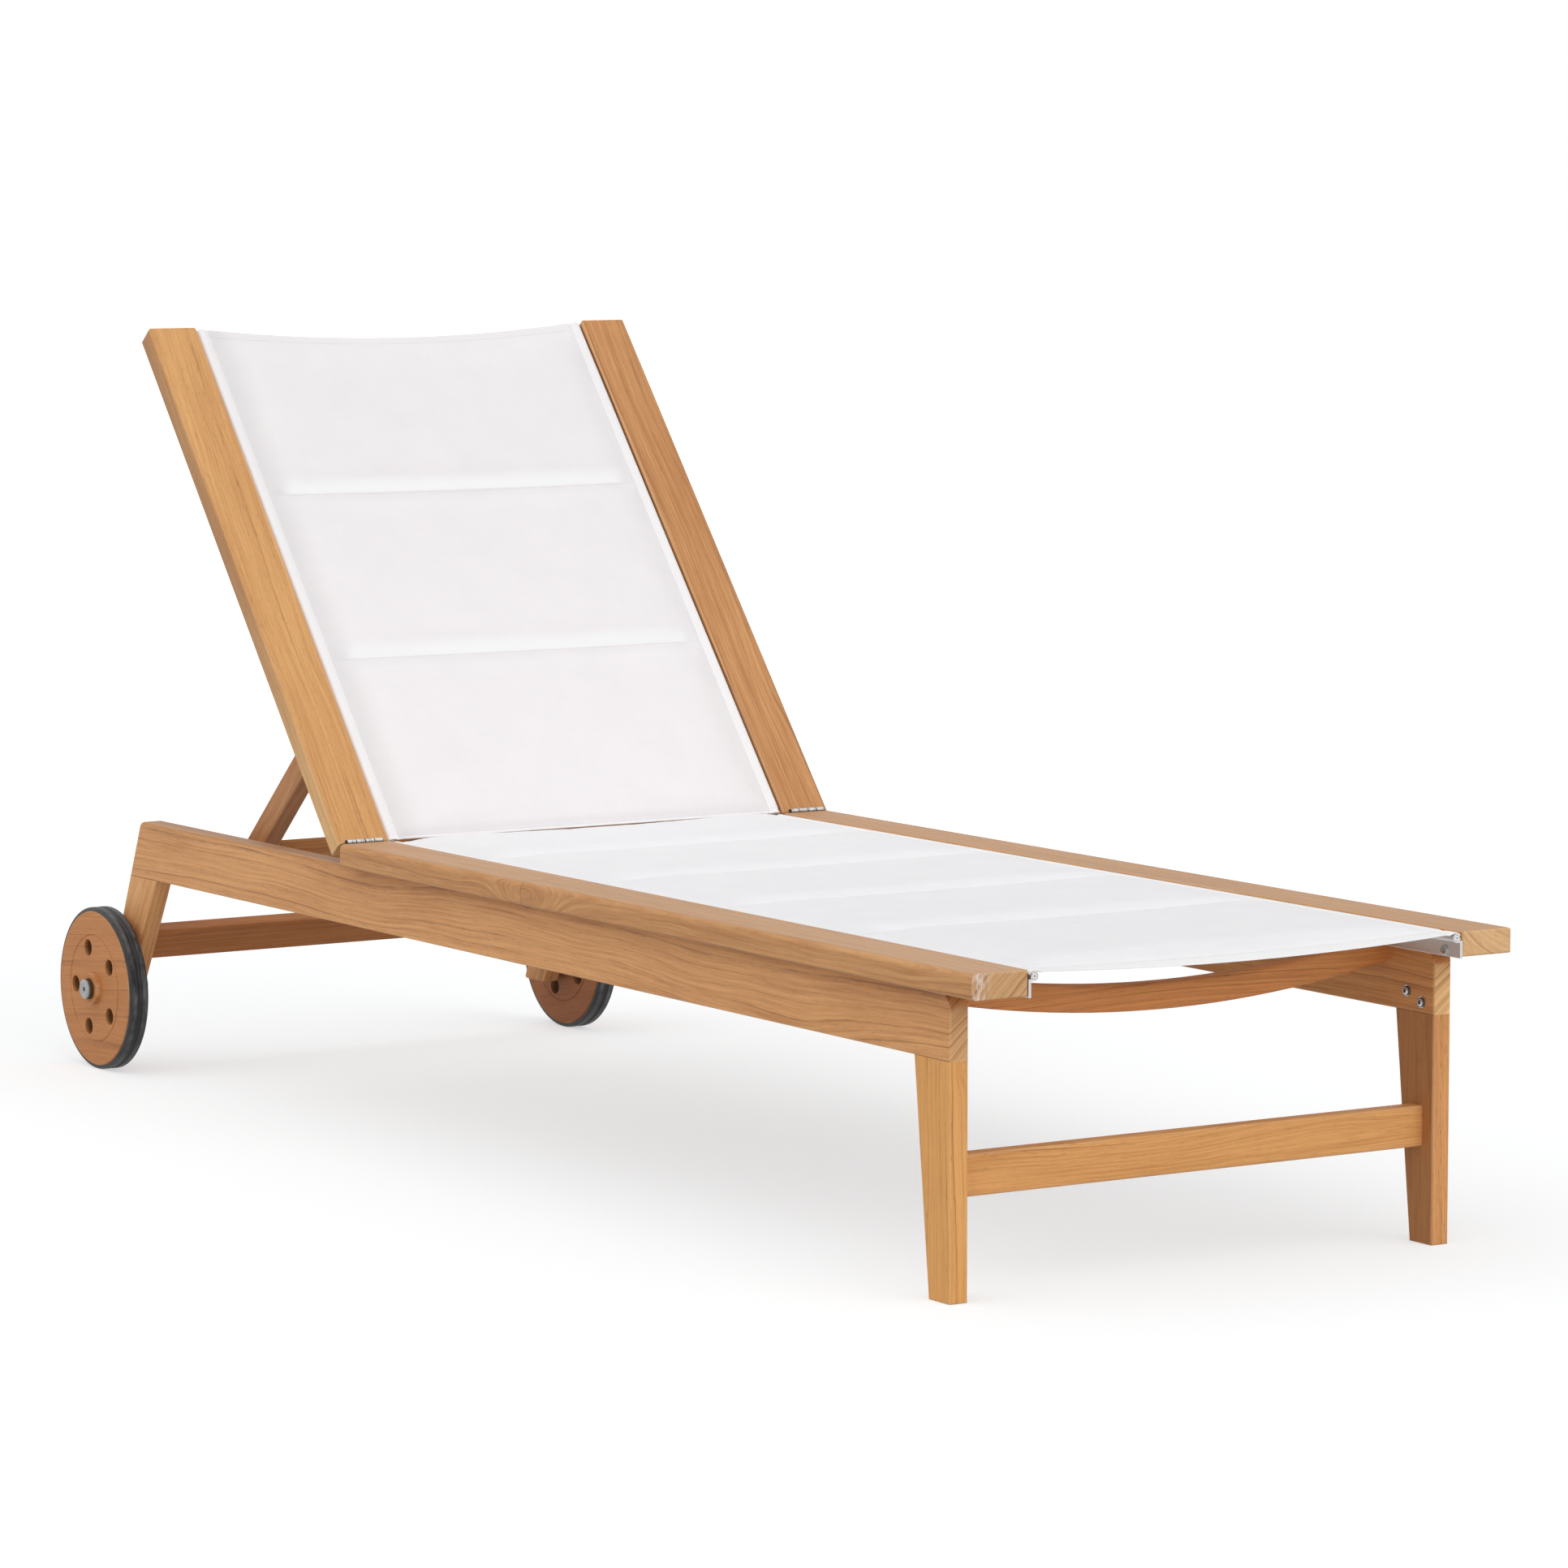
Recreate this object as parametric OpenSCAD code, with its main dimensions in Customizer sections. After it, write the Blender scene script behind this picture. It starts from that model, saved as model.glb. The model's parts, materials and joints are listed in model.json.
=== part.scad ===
// Teak sun lounger: two side frames with a padded sling seat, a hinged sling backrest held up
// by a notched prop, and two wooden wheels at the head end. Lengths are in millimetres.
// X runs across the lounger, Y from the foot end to the head end, Z up from the ground.

/* [Overall] */
// Width over the two seat rails
overall_w = 650; // [600:5:720]
// Height of the seat rails' top faces
seat_h = 330; // [300:5:380]
// Length of the seat, from the rails' foot ends to the hinge pins
seat_l = 1258; // [1200:2:1300]
// Length of the backrest, from the hinge pins to its top end
back_l = 728; // [680:2:760]
// Angle of the backrest above level as it stands
back_angle = 50.5; // [40:0.5:60]

/* [Boards] */
// Width of the seat rails and the back boards
rail_w = 63; // [58:1:70]
// Thickness of the seat rails
rail_t = 26; // [24:1:30]
// Radius of the rails' outer top edges
rail_round = 7; // [4:1:10]
// Radius of the other long edges
edge_round = 3; // [2:0.5:4]
// Radius at the board ends
end_round = 2; // [1:0.5:3]
// Radius of the arrises that meet another board
arris = 1.5; // [1:0.5:2]
// Thickness of the side beams and of the legs
beam_t = 22; // [18:1:26]
// Depth of the side beams
beam_d = 68.5; // [60:0.5:80]
// Radius of the beams' upper corners
beam_round = 22; // [10:1:30]
// Distance from the rails' foot ends to the front legs
front_set = 70; // [50:2:90]

/* [Legs] */
// Depth of a front leg under the beam
front_leg_top = 63; // [56:1:72]
// Depth of a front leg at the ground
front_leg_foot = 37; // [30:1:48]
// Depth of a rear leg at the wheel axle
rear_leg_d = 53; // [46:1:62]
// Rake of the rear legs' front edges
rear_rake_front = 29; // [26:0.5:31]
// Rake of the rear legs' back edges
rear_rake_back = 23.3; // [21:0.1:26]
// Length of the rear legs below the axle
rear_leg_drop = 38; // [32:1:44]
// Height of the leg tenons inside the beams
tenon_h = 34; // [30:1:40]
// Thickness of the leg tenons
tenon_t = 8; // [6:0.5:10]
// Depth of the front stretcher
stretcher_h = 42; // [34:1:50]
// Depth of the rear stretcher
rear_stretcher_h = 39; // [32:1:46]
// Thickness of the stretchers
stretcher_t = 20; // [16:1:24]
// Distance from the front legs' faces to the front stretcher
front_stretcher_set = 17; // [12:1:20]
// Height of the front stretcher's middle
front_stretcher_z = 120.5; // [100:0.5:150]
// Height of the rear stretcher's middle above the axle
rear_stretcher_up = 56; // [45:1:70]
// Length of the stretcher tenons
stretcher_tenon = 12; // [8:1:15]

/* [Bowed rails] */
// Drop of the bowed rails' middle below their ends
bow_sag = 29; // [20:1:36]
// Height of the bowed rails
bow_h = 27; // [22:1:32]
// Thickness of the bowed rails
bow_t = 22; // [16:1:26]
// Height of their lower edge at the ends, below the rails' undersides
bow_end_drop = 20; // [16:1:24]
// Distance from the foot end to the front bowed rail
front_bow_set = 140; // [136:1:170]
// Distance from the hinge pins to the rear bowed rail
rear_bow_set = 78; // [60:1:110]
// Distance from the hinge pins to the lower bowed rail of the backrest
low_bow_set = 40; // [36:1:60]
// Distance from the top end to the upper bowed rail of the backrest
top_bow_set = 50; // [40:1:80]

/* [Sling] */
// Thickness of the padded slings
sling_t = 8; // [6:0.5:10]
// Depth of a sling's top face below the rails' top faces
sling_drop = 3; // [2:0.5:4]
// Distance from the seat sling to the foot end
sling_front_gap = 1; // [1:0.5:3]
// Distance from each sling to the hinge pins
sling_hinge_gap = 7; // [5:0.5:12]
// Distance from the back sling to the top end
sling_top_gap = 3; // [2:0.5:8]
// Outer radius of the aluminium sling tracks
track_r = 4.6; // [4.4:0.1:4.8]
// Wall of the sling tracks
track_wall = 1.3; // [1.1:0.1:1.4]
// Thickness of the tracks' screw webs
web_t = 3; // [2:0.5:4]
// Depth of the tracks' webs below the rails' undersides
web_drop = 1.5; // [0.5:0.5:2]
// Width of the slot that the sling passes through
track_slot = 2.4; // [2:0.1:2.6]
// Radius of the keder rods at the slings' edges
keder_r = 3; // [2.7:0.1:3]
// Distance from the board ends to the first track screw
track_screw_end = 24; // [20:1:30]
// Longest distance between track screws
track_screw_pitch = 205; // [150:5:300]

/* [Hinges] */
// Width of the hinges
hinge_w = 46; // [40:1:50]
// Depth of the hinge leaves in the board ends
leaf_h = 20; // [16:1:22]
// Thickness of the hinge leaves
leaf_t = 1.5; // [1.2:0.1:1.8]
// Outer radius of the hinge knuckles
knuckle_r = 3; // [2.8:0.1:3.5]
// Radius of the hinge pins
hinge_pin_r = 1.5; // [1.2:0.1:1.8]
// Height of the hinge pins above the rails' top faces
pin_up = 1.2; // [0.8:0.1:1.6]

/* [Prop] */
// Distance from the hinge pins to the prop's pivots, along the boards
pivot_s = 191; // [180:1:200]
// Depth of the prop's pivots below the boards' top faces
pivot_d = 43.5; // [43.5:0.5:46]
// Length of the prop between its pivots and its dowel
prop_l = 268; // [262:1:280]
// Height of the prop's dowel, measured to its middle
foot_z = 270; // [266:1:274]
// Thickness of the struts
strut_t = 22; // [18:1:24]
// Depth of the struts
strut_d = 30; // [26:1:31]
// Radius of the dowel
dowel_r = 6; // [5:0.5:7]
// Depth of the prop's cross rail
prop_rail_h = 40; // [30:1:50]
// Thickness of the prop's cross rail
prop_rail_t = 20; // [14:1:24]
// Distance from the dowel to the cross rail
prop_rail_set = 16; // [12:1:24]
// Radius of the pivot bolts
pivot_r = 4; // [3:0.5:4.5]
// Thickness of the pivot brackets
bracket_t = 3; // [2:0.5:4]
// Height of the racks
rack_h = 22; // [18:1:26]
// Distance between the notches of the racks
notch_pitch = 45; // [36:1:50]
// Depth of the notches
notch_deep = 4; // [3:0.5:5]

/* [Wheels] */
// Distance from the hinge pins to the wheel axles
wheel_set = 601; // [580:1:620]
// Outer radius of the tyres
tyre_r = 97.5; // [90:0.5:110]
// Thickness of the tyres
tyre_t = 4.5; // [3.5:0.5:6]
// Thickness of the wooden wheel discs
disc_t = 26; // [20:1:30]
// Gap between a rear leg and its wheel
wheel_gap = 7; // [5:0.5:10]
// Radius of the axles
axle_r = 6; // [5:0.5:7]
// Radius of the holes in the discs
disc_hole_r = 10; // [7:0.5:11]
// Radius of the circle that those holes lie on
disc_hole_pcr = 50; // [42:1:52]
// Radius of the hub bushes' flanges
hub_r = 18.5; // [16:0.5:22]
// Radius of the hub caps
cap_r = 12.5; // [11:0.5:14]
// Length of the hub caps
cap_l = 11; // [8:0.5:14]

/* [Fasteners] */
// Radius of the leg bolts
bolt_r = 3; // [2.5:0.5:4]
// Radius of the leg bolts' heads
bolt_head_r = 5; // [4.5:0.5:6]
// Radius of the wood screws
screw_r = 2; // [1.5:0.1:2.5]

/* [Clearances] */
// Gap between pieces that move past each other
run_gap = 0.3; // [0.25:0.05:0.5]
// Radial clearance of a shaft in its bore
fit_gap = 0.06; // [0.03:0.01:0.09]
// Gap around a tenon in its mortise
tenon_gap = 0.1; // [0.05:0.05:0.2]
// Side gap between the prop, its racks and the beams
side_gap = 1; // [0.6:0.1:1.5]
// Least height of the moving dowel above the racks
foot_gap = 1.5; // [1.5:0.1:2.5]

/* [Hidden] */
$fn = 64;
eps = 0.01;
teak = "peru";
teak_dark = "sienna";

// Places across the lounger, on the right-hand side
rail_x1 = overall_w / 2;
rail_x0 = rail_x1 - rail_w;
beam_xc = (rail_x0 + rail_x1) / 2;
beam_x0 = beam_xc - beam_t / 2;
beam_x1 = beam_xc + beam_t / 2;
web_x0 = rail_x0 - web_t;
track_xc = rail_x0 - track_r - 2.4;
sling_x1 = track_xc - track_r - run_gap;
rack_x0 = rail_x0 + side_gap;
strut_x1 = rail_x0;
strut_x0 = strut_x1 - strut_t;
dowel_x1 = beam_x0 - side_gap - 0.5;
bracket_x0 = strut_x1 + run_gap;
bracket_x1 = beam_x0 - side_gap;
disc_x0 = beam_x1 + wheel_gap;
disc_x1 = disc_x0 + disc_t;
flange_t = 3;
cap_x0 = disc_x1 + flange_t + run_gap;

// Heights
rail_z0 = seat_h - rail_t;
beam_z0 = rail_z0 - beam_d;
board_t = rail_t - run_gap;
board_z0 = seat_h - board_t;
pin_z = seat_h + pin_up;
sling_z1 = seat_h - sling_drop;
track_zc = seat_h - track_r - 2.1;
track_screw_z = rail_z0 + 4.5;
rack_z1 = foot_z - dowel_r - foot_gap;
rack_z0 = rack_z1 - rack_h;

// Places along the lounger
wheel_y = seat_l + wheel_set;
board_y0 = seat_l + run_gap;
board_y1 = seat_l + back_l;
rail_y1 = seat_l - run_gap;
rear_leg_z0 = tyre_r - rear_leg_drop;
function rear_front_y(z) = wheel_y - rear_leg_d / 2 - (z - tyre_r) * tan(rear_rake_front);
function rear_back_y(z) = wheel_y + rear_leg_d / 2 - (z - tyre_r) * tan(rear_rake_back);
rear_rake = (rear_rake_front + rear_rake_back) / 2;
front_leg_y1 = front_set + front_leg_top;
front_leg_rake = atan((front_leg_top - front_leg_foot) / beam_z0);
y_mid = (wheel_y + tyre_r) / 2;

// The bowed rails: an arc between the beams' inner faces, sagging by bow_sag
bow_half = beam_x0;
bow_r = (bow_half * bow_half + bow_sag * bow_sag) / (2 * bow_sag);
bow_half_angle = asin(bow_half / bow_r);

// The prop at rest: its pivots move with the backrest, and its dowel stays at foot_z
pivot_up = pivot_d + pin_up;
prop_y = seat_l + pivot_s * cos(back_angle) + pivot_up * sin(back_angle);
prop_z = pin_z + pivot_s * sin(back_angle) - pivot_up * cos(back_angle);
prop_angle = asin((prop_z - foot_z) / prop_l);
foot_y = prop_y + prop_l * cos(prop_angle);
notches = [-2, -1, 0, 1, 2];
rack_y0 = foot_y + notches[0] * notch_pitch - 28;
rack_y1 = foot_y + notches[4] * notch_pitch + 28;

// Sizes of small hardware
washer_t = 1.2;
washer_r = bolt_head_r + 1;
bolt_head_h = 3.2;
socket_r = 2.3;
screw_head_r = screw_r * 2.8;
screw_head_h = screw_r * 1.1;
nut_h = 6;
axle_nut_h = 10;
axle_washer_t = 2;

// ---------- Helpers ----------

// Puts a module drawn from the foot end onto the part's origin
module place() translate([0, -y_mid, 0]) children();

// Draws a right-hand piece on the right (1) or the left (-1)
module side(s) mirror([s < 0 ? 1 : 0, 0, 0]) children();

// Turns a piece drawn with the backrest lying flat up to the backrest's angle
module raise()
  translate([0, seat_l, pin_z]) rotate([back_angle, 0, 0]) translate([0, -seat_l, -pin_z]) children();

// Puts a piece drawn along the prop, with its pivots at the origin, onto the lounger
module prop_place() translate([0, prop_y, prop_z]) rotate([-prop_angle, 0, 0]) children();

function unit(v) = v / norm(v);

// A polygon with its corners rounded to the radii
module soft_poly(points, radii) {
  n = len(points);
  difference() {
    polygon(points);
    for (i = [0 : n - 1])
      if (radii[i] > 0)
        corner_waste(points[(i + n - 1) % n], points[i], points[(i + 1) % n], radii[i]);
  }
}

// What rounding takes off one corner
module corner_waste(before, corner, after, r) {
  a = unit(before - corner);
  b = unit(after - corner);
  half = acos(a * b) / 2;
  reach = r / tan(half);
  difference() {
    polygon([corner - 2 * (a + b), corner + a * reach, corner + b * reach]);
    translate(corner + unit(a + b) * r / sin(half)) circle(r);
  }
}

// A rectangle with round corners, from the low corner anticlockwise
module soft_rect(lo, hi, radii)
  soft_poly([lo, [hi[0], lo[1]], hi, [lo[0], hi[1]]], radii);

// Extrusions of a drawing along Y (drawn in XZ), along X (drawn in YZ) and along Z (drawn in XY)
module along_y(y0, y1) translate([0, y1, 0]) rotate([90, 0, 0]) linear_extrude(y1 - y0) children();
module along_x(x0, x1) translate([x0, 0, 0]) rotate([90, 0, 90]) linear_extrude(x1 - x0) children();
module along_z(z0, z1) translate([0, 0, z0]) linear_extrude(z1 - z0) children();

// A board with soft edges all round; profile lists the radii of its XZ section
module board(lo, hi, profile, ends)
  intersection() {
    along_y(lo[1], hi[1]) soft_rect([lo[0], lo[2]], [hi[0], hi[2]], profile);
    along_z(lo[2], hi[2]) soft_rect([lo[0], lo[1]], [hi[0], hi[1]], ends);
    along_x(lo[0], hi[0]) soft_rect([lo[1], lo[2]], [hi[1], hi[2]], [for (r = ends) end_round]);
  }

// Everything behind a beam or leg face that passes through (y, z) and leans by rake, its foot towards
// the head end. The wood lies towards -Y (dir = -1) or +Y (dir = 1), and the face's two edges are soft.
module leaning_face(y, z, rake, dir)
  translate([0, y, z]) rotate([rake, 0, 0]) along_z(-3000, 3000)
    if (dir < 0) soft_rect([beam_x0, -3000], [beam_x1, 0], [0, 0, edge_round, edge_round]);
    else soft_rect([beam_x0, 0], [beam_x1, 3000], [edge_round, edge_round, 0, 0]);

// A cylinder along X from x0 to x1
module rod(x0, x1, r) translate([x0, 0, 0]) rotate([0, 90, 0]) cylinder(h = x1 - x0, r = r);

// A pan-head wood screw along -Z with its head's underside at the origin
module pan_screw(length) {
  translate([0, 0, -length]) cylinder(h = length + eps, r = screw_r);
  difference() {
    intersection() {
      cylinder(h = screw_head_h, r = screw_head_r);
      translate([0, 0, -screw_head_r * 1.6]) sphere(r = screw_head_r * 2.1);
    }
    translate([0, 0, screw_head_h - 1.4]) cylinder(h = 2, r = screw_r);
  }
}

// ---------- Side frames ----------

rail_profile = [edge_round, edge_round + 1, rail_round, 1.5];

module rail_board(y0, y1, z0, soft_ends)
  board([rail_x0, y0, z0], [rail_x1, y1, seat_h], rail_profile, soft_ends);

// Recess for one hinge leaf and the knuckles, in a seat rail's end
module hinge_recess() {
  translate([hinge_x0 - tenon_gap, rail_y1 - leaf_t, pin_z - leaf_h - pin_up])
    cube([hinge_w + 2 * tenon_gap, run_gap + leaf_t + 1, leaf_h + 5]);
  translate([0, seat_l, pin_z])
    rod(hinge_x0 - run_gap, hinge_x0 + hinge_w + run_gap, knuckle_r + run_gap);
}

function screw_places(y0, y1) =
  let (n = ceil((y1 - y0 - 2 * track_screw_end) / track_screw_pitch))
  [for (i = [0 : n]) y0 + track_screw_end + i * (y1 - y0 - 2 * track_screw_end) / n];

seat_screws_y = screw_places(0, seat_l);
back_screws_y = screw_places(seat_l, board_y1);

module track_screw_bores(places, grow)
  for (y = places)
    translate([web_x0 - 5, y, track_screw_z]) rod(0, web_t + 5 + 14, screw_r + grow);

module seat_rail(s) color(teak) side(s) place() difference() {
  rail_board(0, rail_y1, rail_z0, [3, 4, 1, 1]);
  hinge_recess();
  hinge_screw_places() translate([0, rail_y1, 0]) rotate([-90, 0, 0]) hinge_shank(fit_gap);
  track_screw_bores(seat_screws_y, fit_gap);
  bow_screw_places(front_bow_set, rear_bow_y) cylinder(h = 14, r = screw_r + fit_gap);
  rail_dowel_bores(fit_gap);
}
module seat_rail_left() seat_rail(-1);
module seat_rail_right() seat_rail(1);

// The outline of a beam seen from the side
module beam_outline()
  soft_poly(
    [[front_set, beam_z0], [rear_back_y(beam_z0), beam_z0],
     [rear_back_y(rail_z0), rail_z0], [front_set, rail_z0]],
    [0, 0, beam_round, beam_round]);

// Tenons at the legs' tops, grown by a gap for the mortises in the beams
front_tenon_y = [front_set + 12, front_leg_y1 - 10];
rear_tenon_y = [rear_front_y(beam_z0) + 10, rear_back_y(beam_z0) - 22];
module leg_tenon(span, gap)
  translate([beam_xc - tenon_t / 2 - gap, span[0] - gap, beam_z0 - 5])
    cube([tenon_t + 2 * gap, span[1] - span[0] + 2 * gap, tenon_h + 5 + gap]);

// Two bolts hold each leg's tenon: places in Y and Z
function bolt_places(span) = [
  [span[0] + 7.5, beam_z0 + 11],
  [span[1] - 9.5, beam_z0 + 20]
];
leg_bolt_places = concat(bolt_places(front_tenon_y), bolt_places(rear_tenon_y));
bolt_l = beam_t - 4;
module leg_bolt_bores(grow)
  for (p = leg_bolt_places)
    translate([beam_x0, p[0], p[1]]) rod(-1, bolt_l + grow, bolt_r + grow);

// What rounding takes off the two edges of a beam's raked end
module soft_rear_arrises()
  translate([0, rear_back_y(beam_z0), beam_z0]) rotate([rear_rake_back, 0, 0])
    along_z(-10, beam_d + 20) {
      corner_waste([beam_x0 + 5, 0], [beam_x0, 0], [beam_x0, -5], edge_round);
      corner_waste([beam_x1 - 5, 0], [beam_x1, 0], [beam_x1, -5], edge_round);
    }

module beam(s) color(teak) side(s) place() difference() {
  intersection() {
    along_x(beam_x0, beam_x1) beam_outline();
    along_y(0, wheel_y + tyre_r)
      soft_rect([beam_x0, beam_z0], [beam_x1, rail_z0], [arris, arris, arris, arris]);
    leaning_face(front_set, beam_z0, 0, 1);
  }
  soft_rear_arrises();
  leg_tenon(front_tenon_y, tenon_gap);
  leg_tenon(rear_tenon_y, tenon_gap);
  leg_bolt_bores(fit_gap);
  rack_screw_places() rod(-1, 14, screw_r + fit_gap);
  rail_dowel_bores(fit_gap);
}
module beam_left() beam(-1);
module beam_right() beam(1);

module front_leg(s) color(teak) side(s) place() difference() {
  union() {
    intersection() {
      along_x(beam_x0, beam_x1)
        soft_poly(
          [[front_set, 0], [front_set + front_leg_foot, 0], [front_leg_y1, beam_z0], [front_set, beam_z0]],
          [end_round, end_round, 0, 0]);
      along_y(0, front_leg_y1 + 10) soft_rect([beam_x0, 0], [beam_x1, beam_z0], [end_round, end_round, 0, 0]);
      leaning_face(front_set, 0, 0, 1);
      leaning_face(front_leg_y1, beam_z0, -front_leg_rake, -1);
    }
    leg_tenon(front_tenon_y, 0);
  }
  leg_bolt_bores(fit_gap);
  stretcher_tenons(front_stretcher_at, tenon_gap);
}
module front_leg_left() front_leg(-1);
module front_leg_right() front_leg(1);

module rear_leg(s) color(teak) side(s) place() difference() {
  union() {
    intersection() {
      along_x(beam_x0, beam_x1)
        soft_poly(
          [[rear_front_y(rear_leg_z0), rear_leg_z0], [rear_back_y(rear_leg_z0), rear_leg_z0],
           [rear_back_y(beam_z0), beam_z0], [rear_front_y(beam_z0), beam_z0]],
          [5, 5, 0, 0]);
      along_y(0, wheel_y + 2 * tyre_r)
        soft_rect([beam_x0, rear_leg_z0], [beam_x1, beam_z0], [end_round, end_round, 0, 0]);
      leaning_face(rear_front_y(tyre_r), tyre_r, rear_rake_front, 1);
      leaning_face(rear_back_y(tyre_r), tyre_r, rear_rake_back, -1);
    }
    leg_tenon(rear_tenon_y, 0);
  }
  leg_bolt_bores(fit_gap);
  stretcher_tenons(rear_stretcher_at, tenon_gap);
  translate([0, wheel_y, tyre_r]) rod(beam_x0 - 1, beam_x1 + 1, axle_r + fit_gap);
}
module rear_leg_left() rear_leg(-1);
module rear_leg_right() rear_leg(1);

// ---------- Stretchers ----------

// Middle of each stretcher in Y and Z, its rake and its depth
front_stretcher_at = [front_set + front_stretcher_set + stretcher_t / 2, front_stretcher_z, 0, stretcher_h];
rear_stretcher_at = [
  wheel_y - rear_stretcher_up * tan(rear_rake), tyre_r + rear_stretcher_up, rear_rake, rear_stretcher_h
];

module stretcher_place(at) translate([0, at[0], at[1]]) rotate([at[2], 0, 0]) children();

module stretcher_tenons(at, gap)
  stretcher_place(at)
    for (s = [-1, 1])
      side(s)
        translate([beam_x0 - 5, -stretcher_t / 2 + 5 - gap, -at[3] / 2 + 7 - gap])
          cube([5 + stretcher_tenon + gap, stretcher_t - 10 + 2 * gap, at[3] - 14 + 2 * gap]);

module stretcher(at) color(teak) place() union() {
  stretcher_place(at)
    along_x(-beam_x0, beam_x0)
      soft_rect([-stretcher_t / 2, -at[3] / 2], [stretcher_t / 2, at[3] / 2],
                [edge_round, edge_round, edge_round, edge_round]);
  stretcher_tenons(at, 0);
}
module front_stretcher() stretcher(front_stretcher_at);
module rear_stretcher() stretcher(rear_stretcher_at);

// ---------- Bowed rails ----------

rear_bow_y = seat_l - rear_bow_set - bow_t;
low_bow_y = seat_l + low_bow_set;
top_bow_y = board_y1 - top_bow_set - bow_t;

// A bowed rail from y to y + bow_t; its ends reach x_end and stop under a board at top_z
module bow_rail(y, x_end, top_z) {
  low_z = rail_z0 - bow_end_drop;
  centre_z = low_z - bow_sag + bow_r;
  difference() {
    translate([0, y + bow_t, centre_z]) rotate([90, 0, 0]) rotate([0, 0, 270 - bow_half_angle - 2])
      rotate_extrude(angle = 2 * bow_half_angle + 4, $fn = 720)
        soft_rect([bow_r - bow_h, 0], [bow_r, bow_t], [edge_round, edge_round, edge_round, edge_round]);
    for (s = [-1, 1])
      side(s) {
        translate([x_end, y - 1, low_z - 20]) cube([80, bow_t + 2, 90]);
        translate([web_x0 - 30, y - 1, rail_z0 - web_drop - run_gap])
          cube([30 + web_t + run_gap, bow_t + 2, 60]);
        translate([rail_x0, y - 1, top_z]) cube([60, bow_t + 2, 60]);
        translate([bow_screw_x, y + bow_t / 2, low_z - 20]) {
          cylinder(h = 60, r = screw_r + fit_gap);
          cylinder(h = 20 + bow_screw_in, r = screw_head_r + 1);
        }
      }
  }
}

// Screws through the bowed rails' ends up into the boards, countersunk from below
bow_screw_x = (rail_x0 + beam_x0) / 2;
bow_screw_in = 8;
bow_screw_z = rail_z0 - bow_end_drop + bow_screw_in;
frame_screw_l = 24;
module bow_screw_places(y0, y1)
  for (y = [y0, y1])
    translate([bow_screw_x, y + bow_t / 2, rail_z0 - 1]) children();

module bow_screws(y0, y1)
  for (s = [-1, 1], y = [y0, y1])
    side(s)
      translate([bow_screw_x, y + bow_t / 2, bow_screw_z]) rotate([180, 0, 0]) pan_screw(frame_screw_l);

module front_bow_rail() color(teak_dark) place() bow_rail(front_bow_set, beam_x0, rail_z0);
module rear_bow_rail() color(teak_dark) place() bow_rail(rear_bow_y, beam_x0, rail_z0);

// Dowels between the rails and the beams
dowel_pin_r = 4;
dowel_pin_l = 12;
dowel_set = 110;
dowel_places = [for (i = [0 : 3]) front_set + dowel_set + i * (seat_l - front_set - 2 * dowel_set) / 3];
module rail_dowel_bores(grow)
  for (y = dowel_places)
    translate([beam_xc, y, rail_z0 - dowel_pin_l - grow])
      cylinder(h = 2 * (dowel_pin_l + grow), r = dowel_pin_r + grow);
module rail_dowels() color(teak) place() for (s = [-1, 1]) side(s) rail_dowel_bores(0);

// ---------- Leg bolts ----------

module leg_bolts() color("silver") place()
  for (s = [-1, 1], p = leg_bolt_places)
    side(s) translate([beam_x0, p[0], p[1]]) {
      rod(-washer_t, bolt_l, bolt_r);
      difference() {
        intersection() {
          rod(-washer_t - bolt_head_h, -washer_t, bolt_head_r);
          translate([bolt_head_r * 1.1, 0, 0]) sphere(r = bolt_head_r * 1.85);
        }
        rod(-washer_t - bolt_head_h - 1, -washer_t - 1, socket_r);
      }
    }

module leg_washers() color("silver") place()
  for (s = [-1, 1], p = leg_bolt_places)
    side(s) translate([beam_x0, p[0], p[1]]) difference() {
      rod(-washer_t, 0, washer_r);
      rod(-washer_t - 1, 1, bolt_r + fit_gap);
    }

// ---------- Racks ----------

module rack_screw_places()
  for (y = [rack_y0 + 12, (notches[2] + 0.5) * notch_pitch + foot_y, rack_y1 - 12])
    translate([beam_x0, y, (rack_z0 + rack_z1) / 2 - 3]) children();

module rack(s) color(teak_dark) side(s) place() difference() {
  along_x(rack_x0, beam_x0) difference() {
    soft_rect([rack_y0, rack_z0], [rack_y1, rack_z1], [3, 3, 5, 5]);
    for (k = notches)
      translate([foot_y + k * notch_pitch, rack_z1 - notch_deep + dowel_r + 0.5]) circle(dowel_r + 0.5);
  }
  rack_screw_places() {
    rod(rack_x0 - beam_x0 - 1, 1, screw_r + fit_gap);
    rod(rack_x0 - beam_x0 - 1, rack_x0 - beam_x0 + screw_head_h + 1, screw_head_r + 0.5);
  }
}
module rack_left() rack(-1);
module rack_right() rack(1);

// The screws that hold the racks and the seat's bowed rails
module frame_screws() color("silver") place() {
  bow_screws(front_bow_set, rear_bow_y);
  for (s = [-1, 1])
    side(s)
      rack_screw_places()
        translate([rack_x0 - beam_x0 + screw_head_h + 1, 0, 0]) rotate([0, -90, 0]) pan_screw(frame_screw_l);
}

// ---------- Sling tracks, keders and slings ----------

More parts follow.
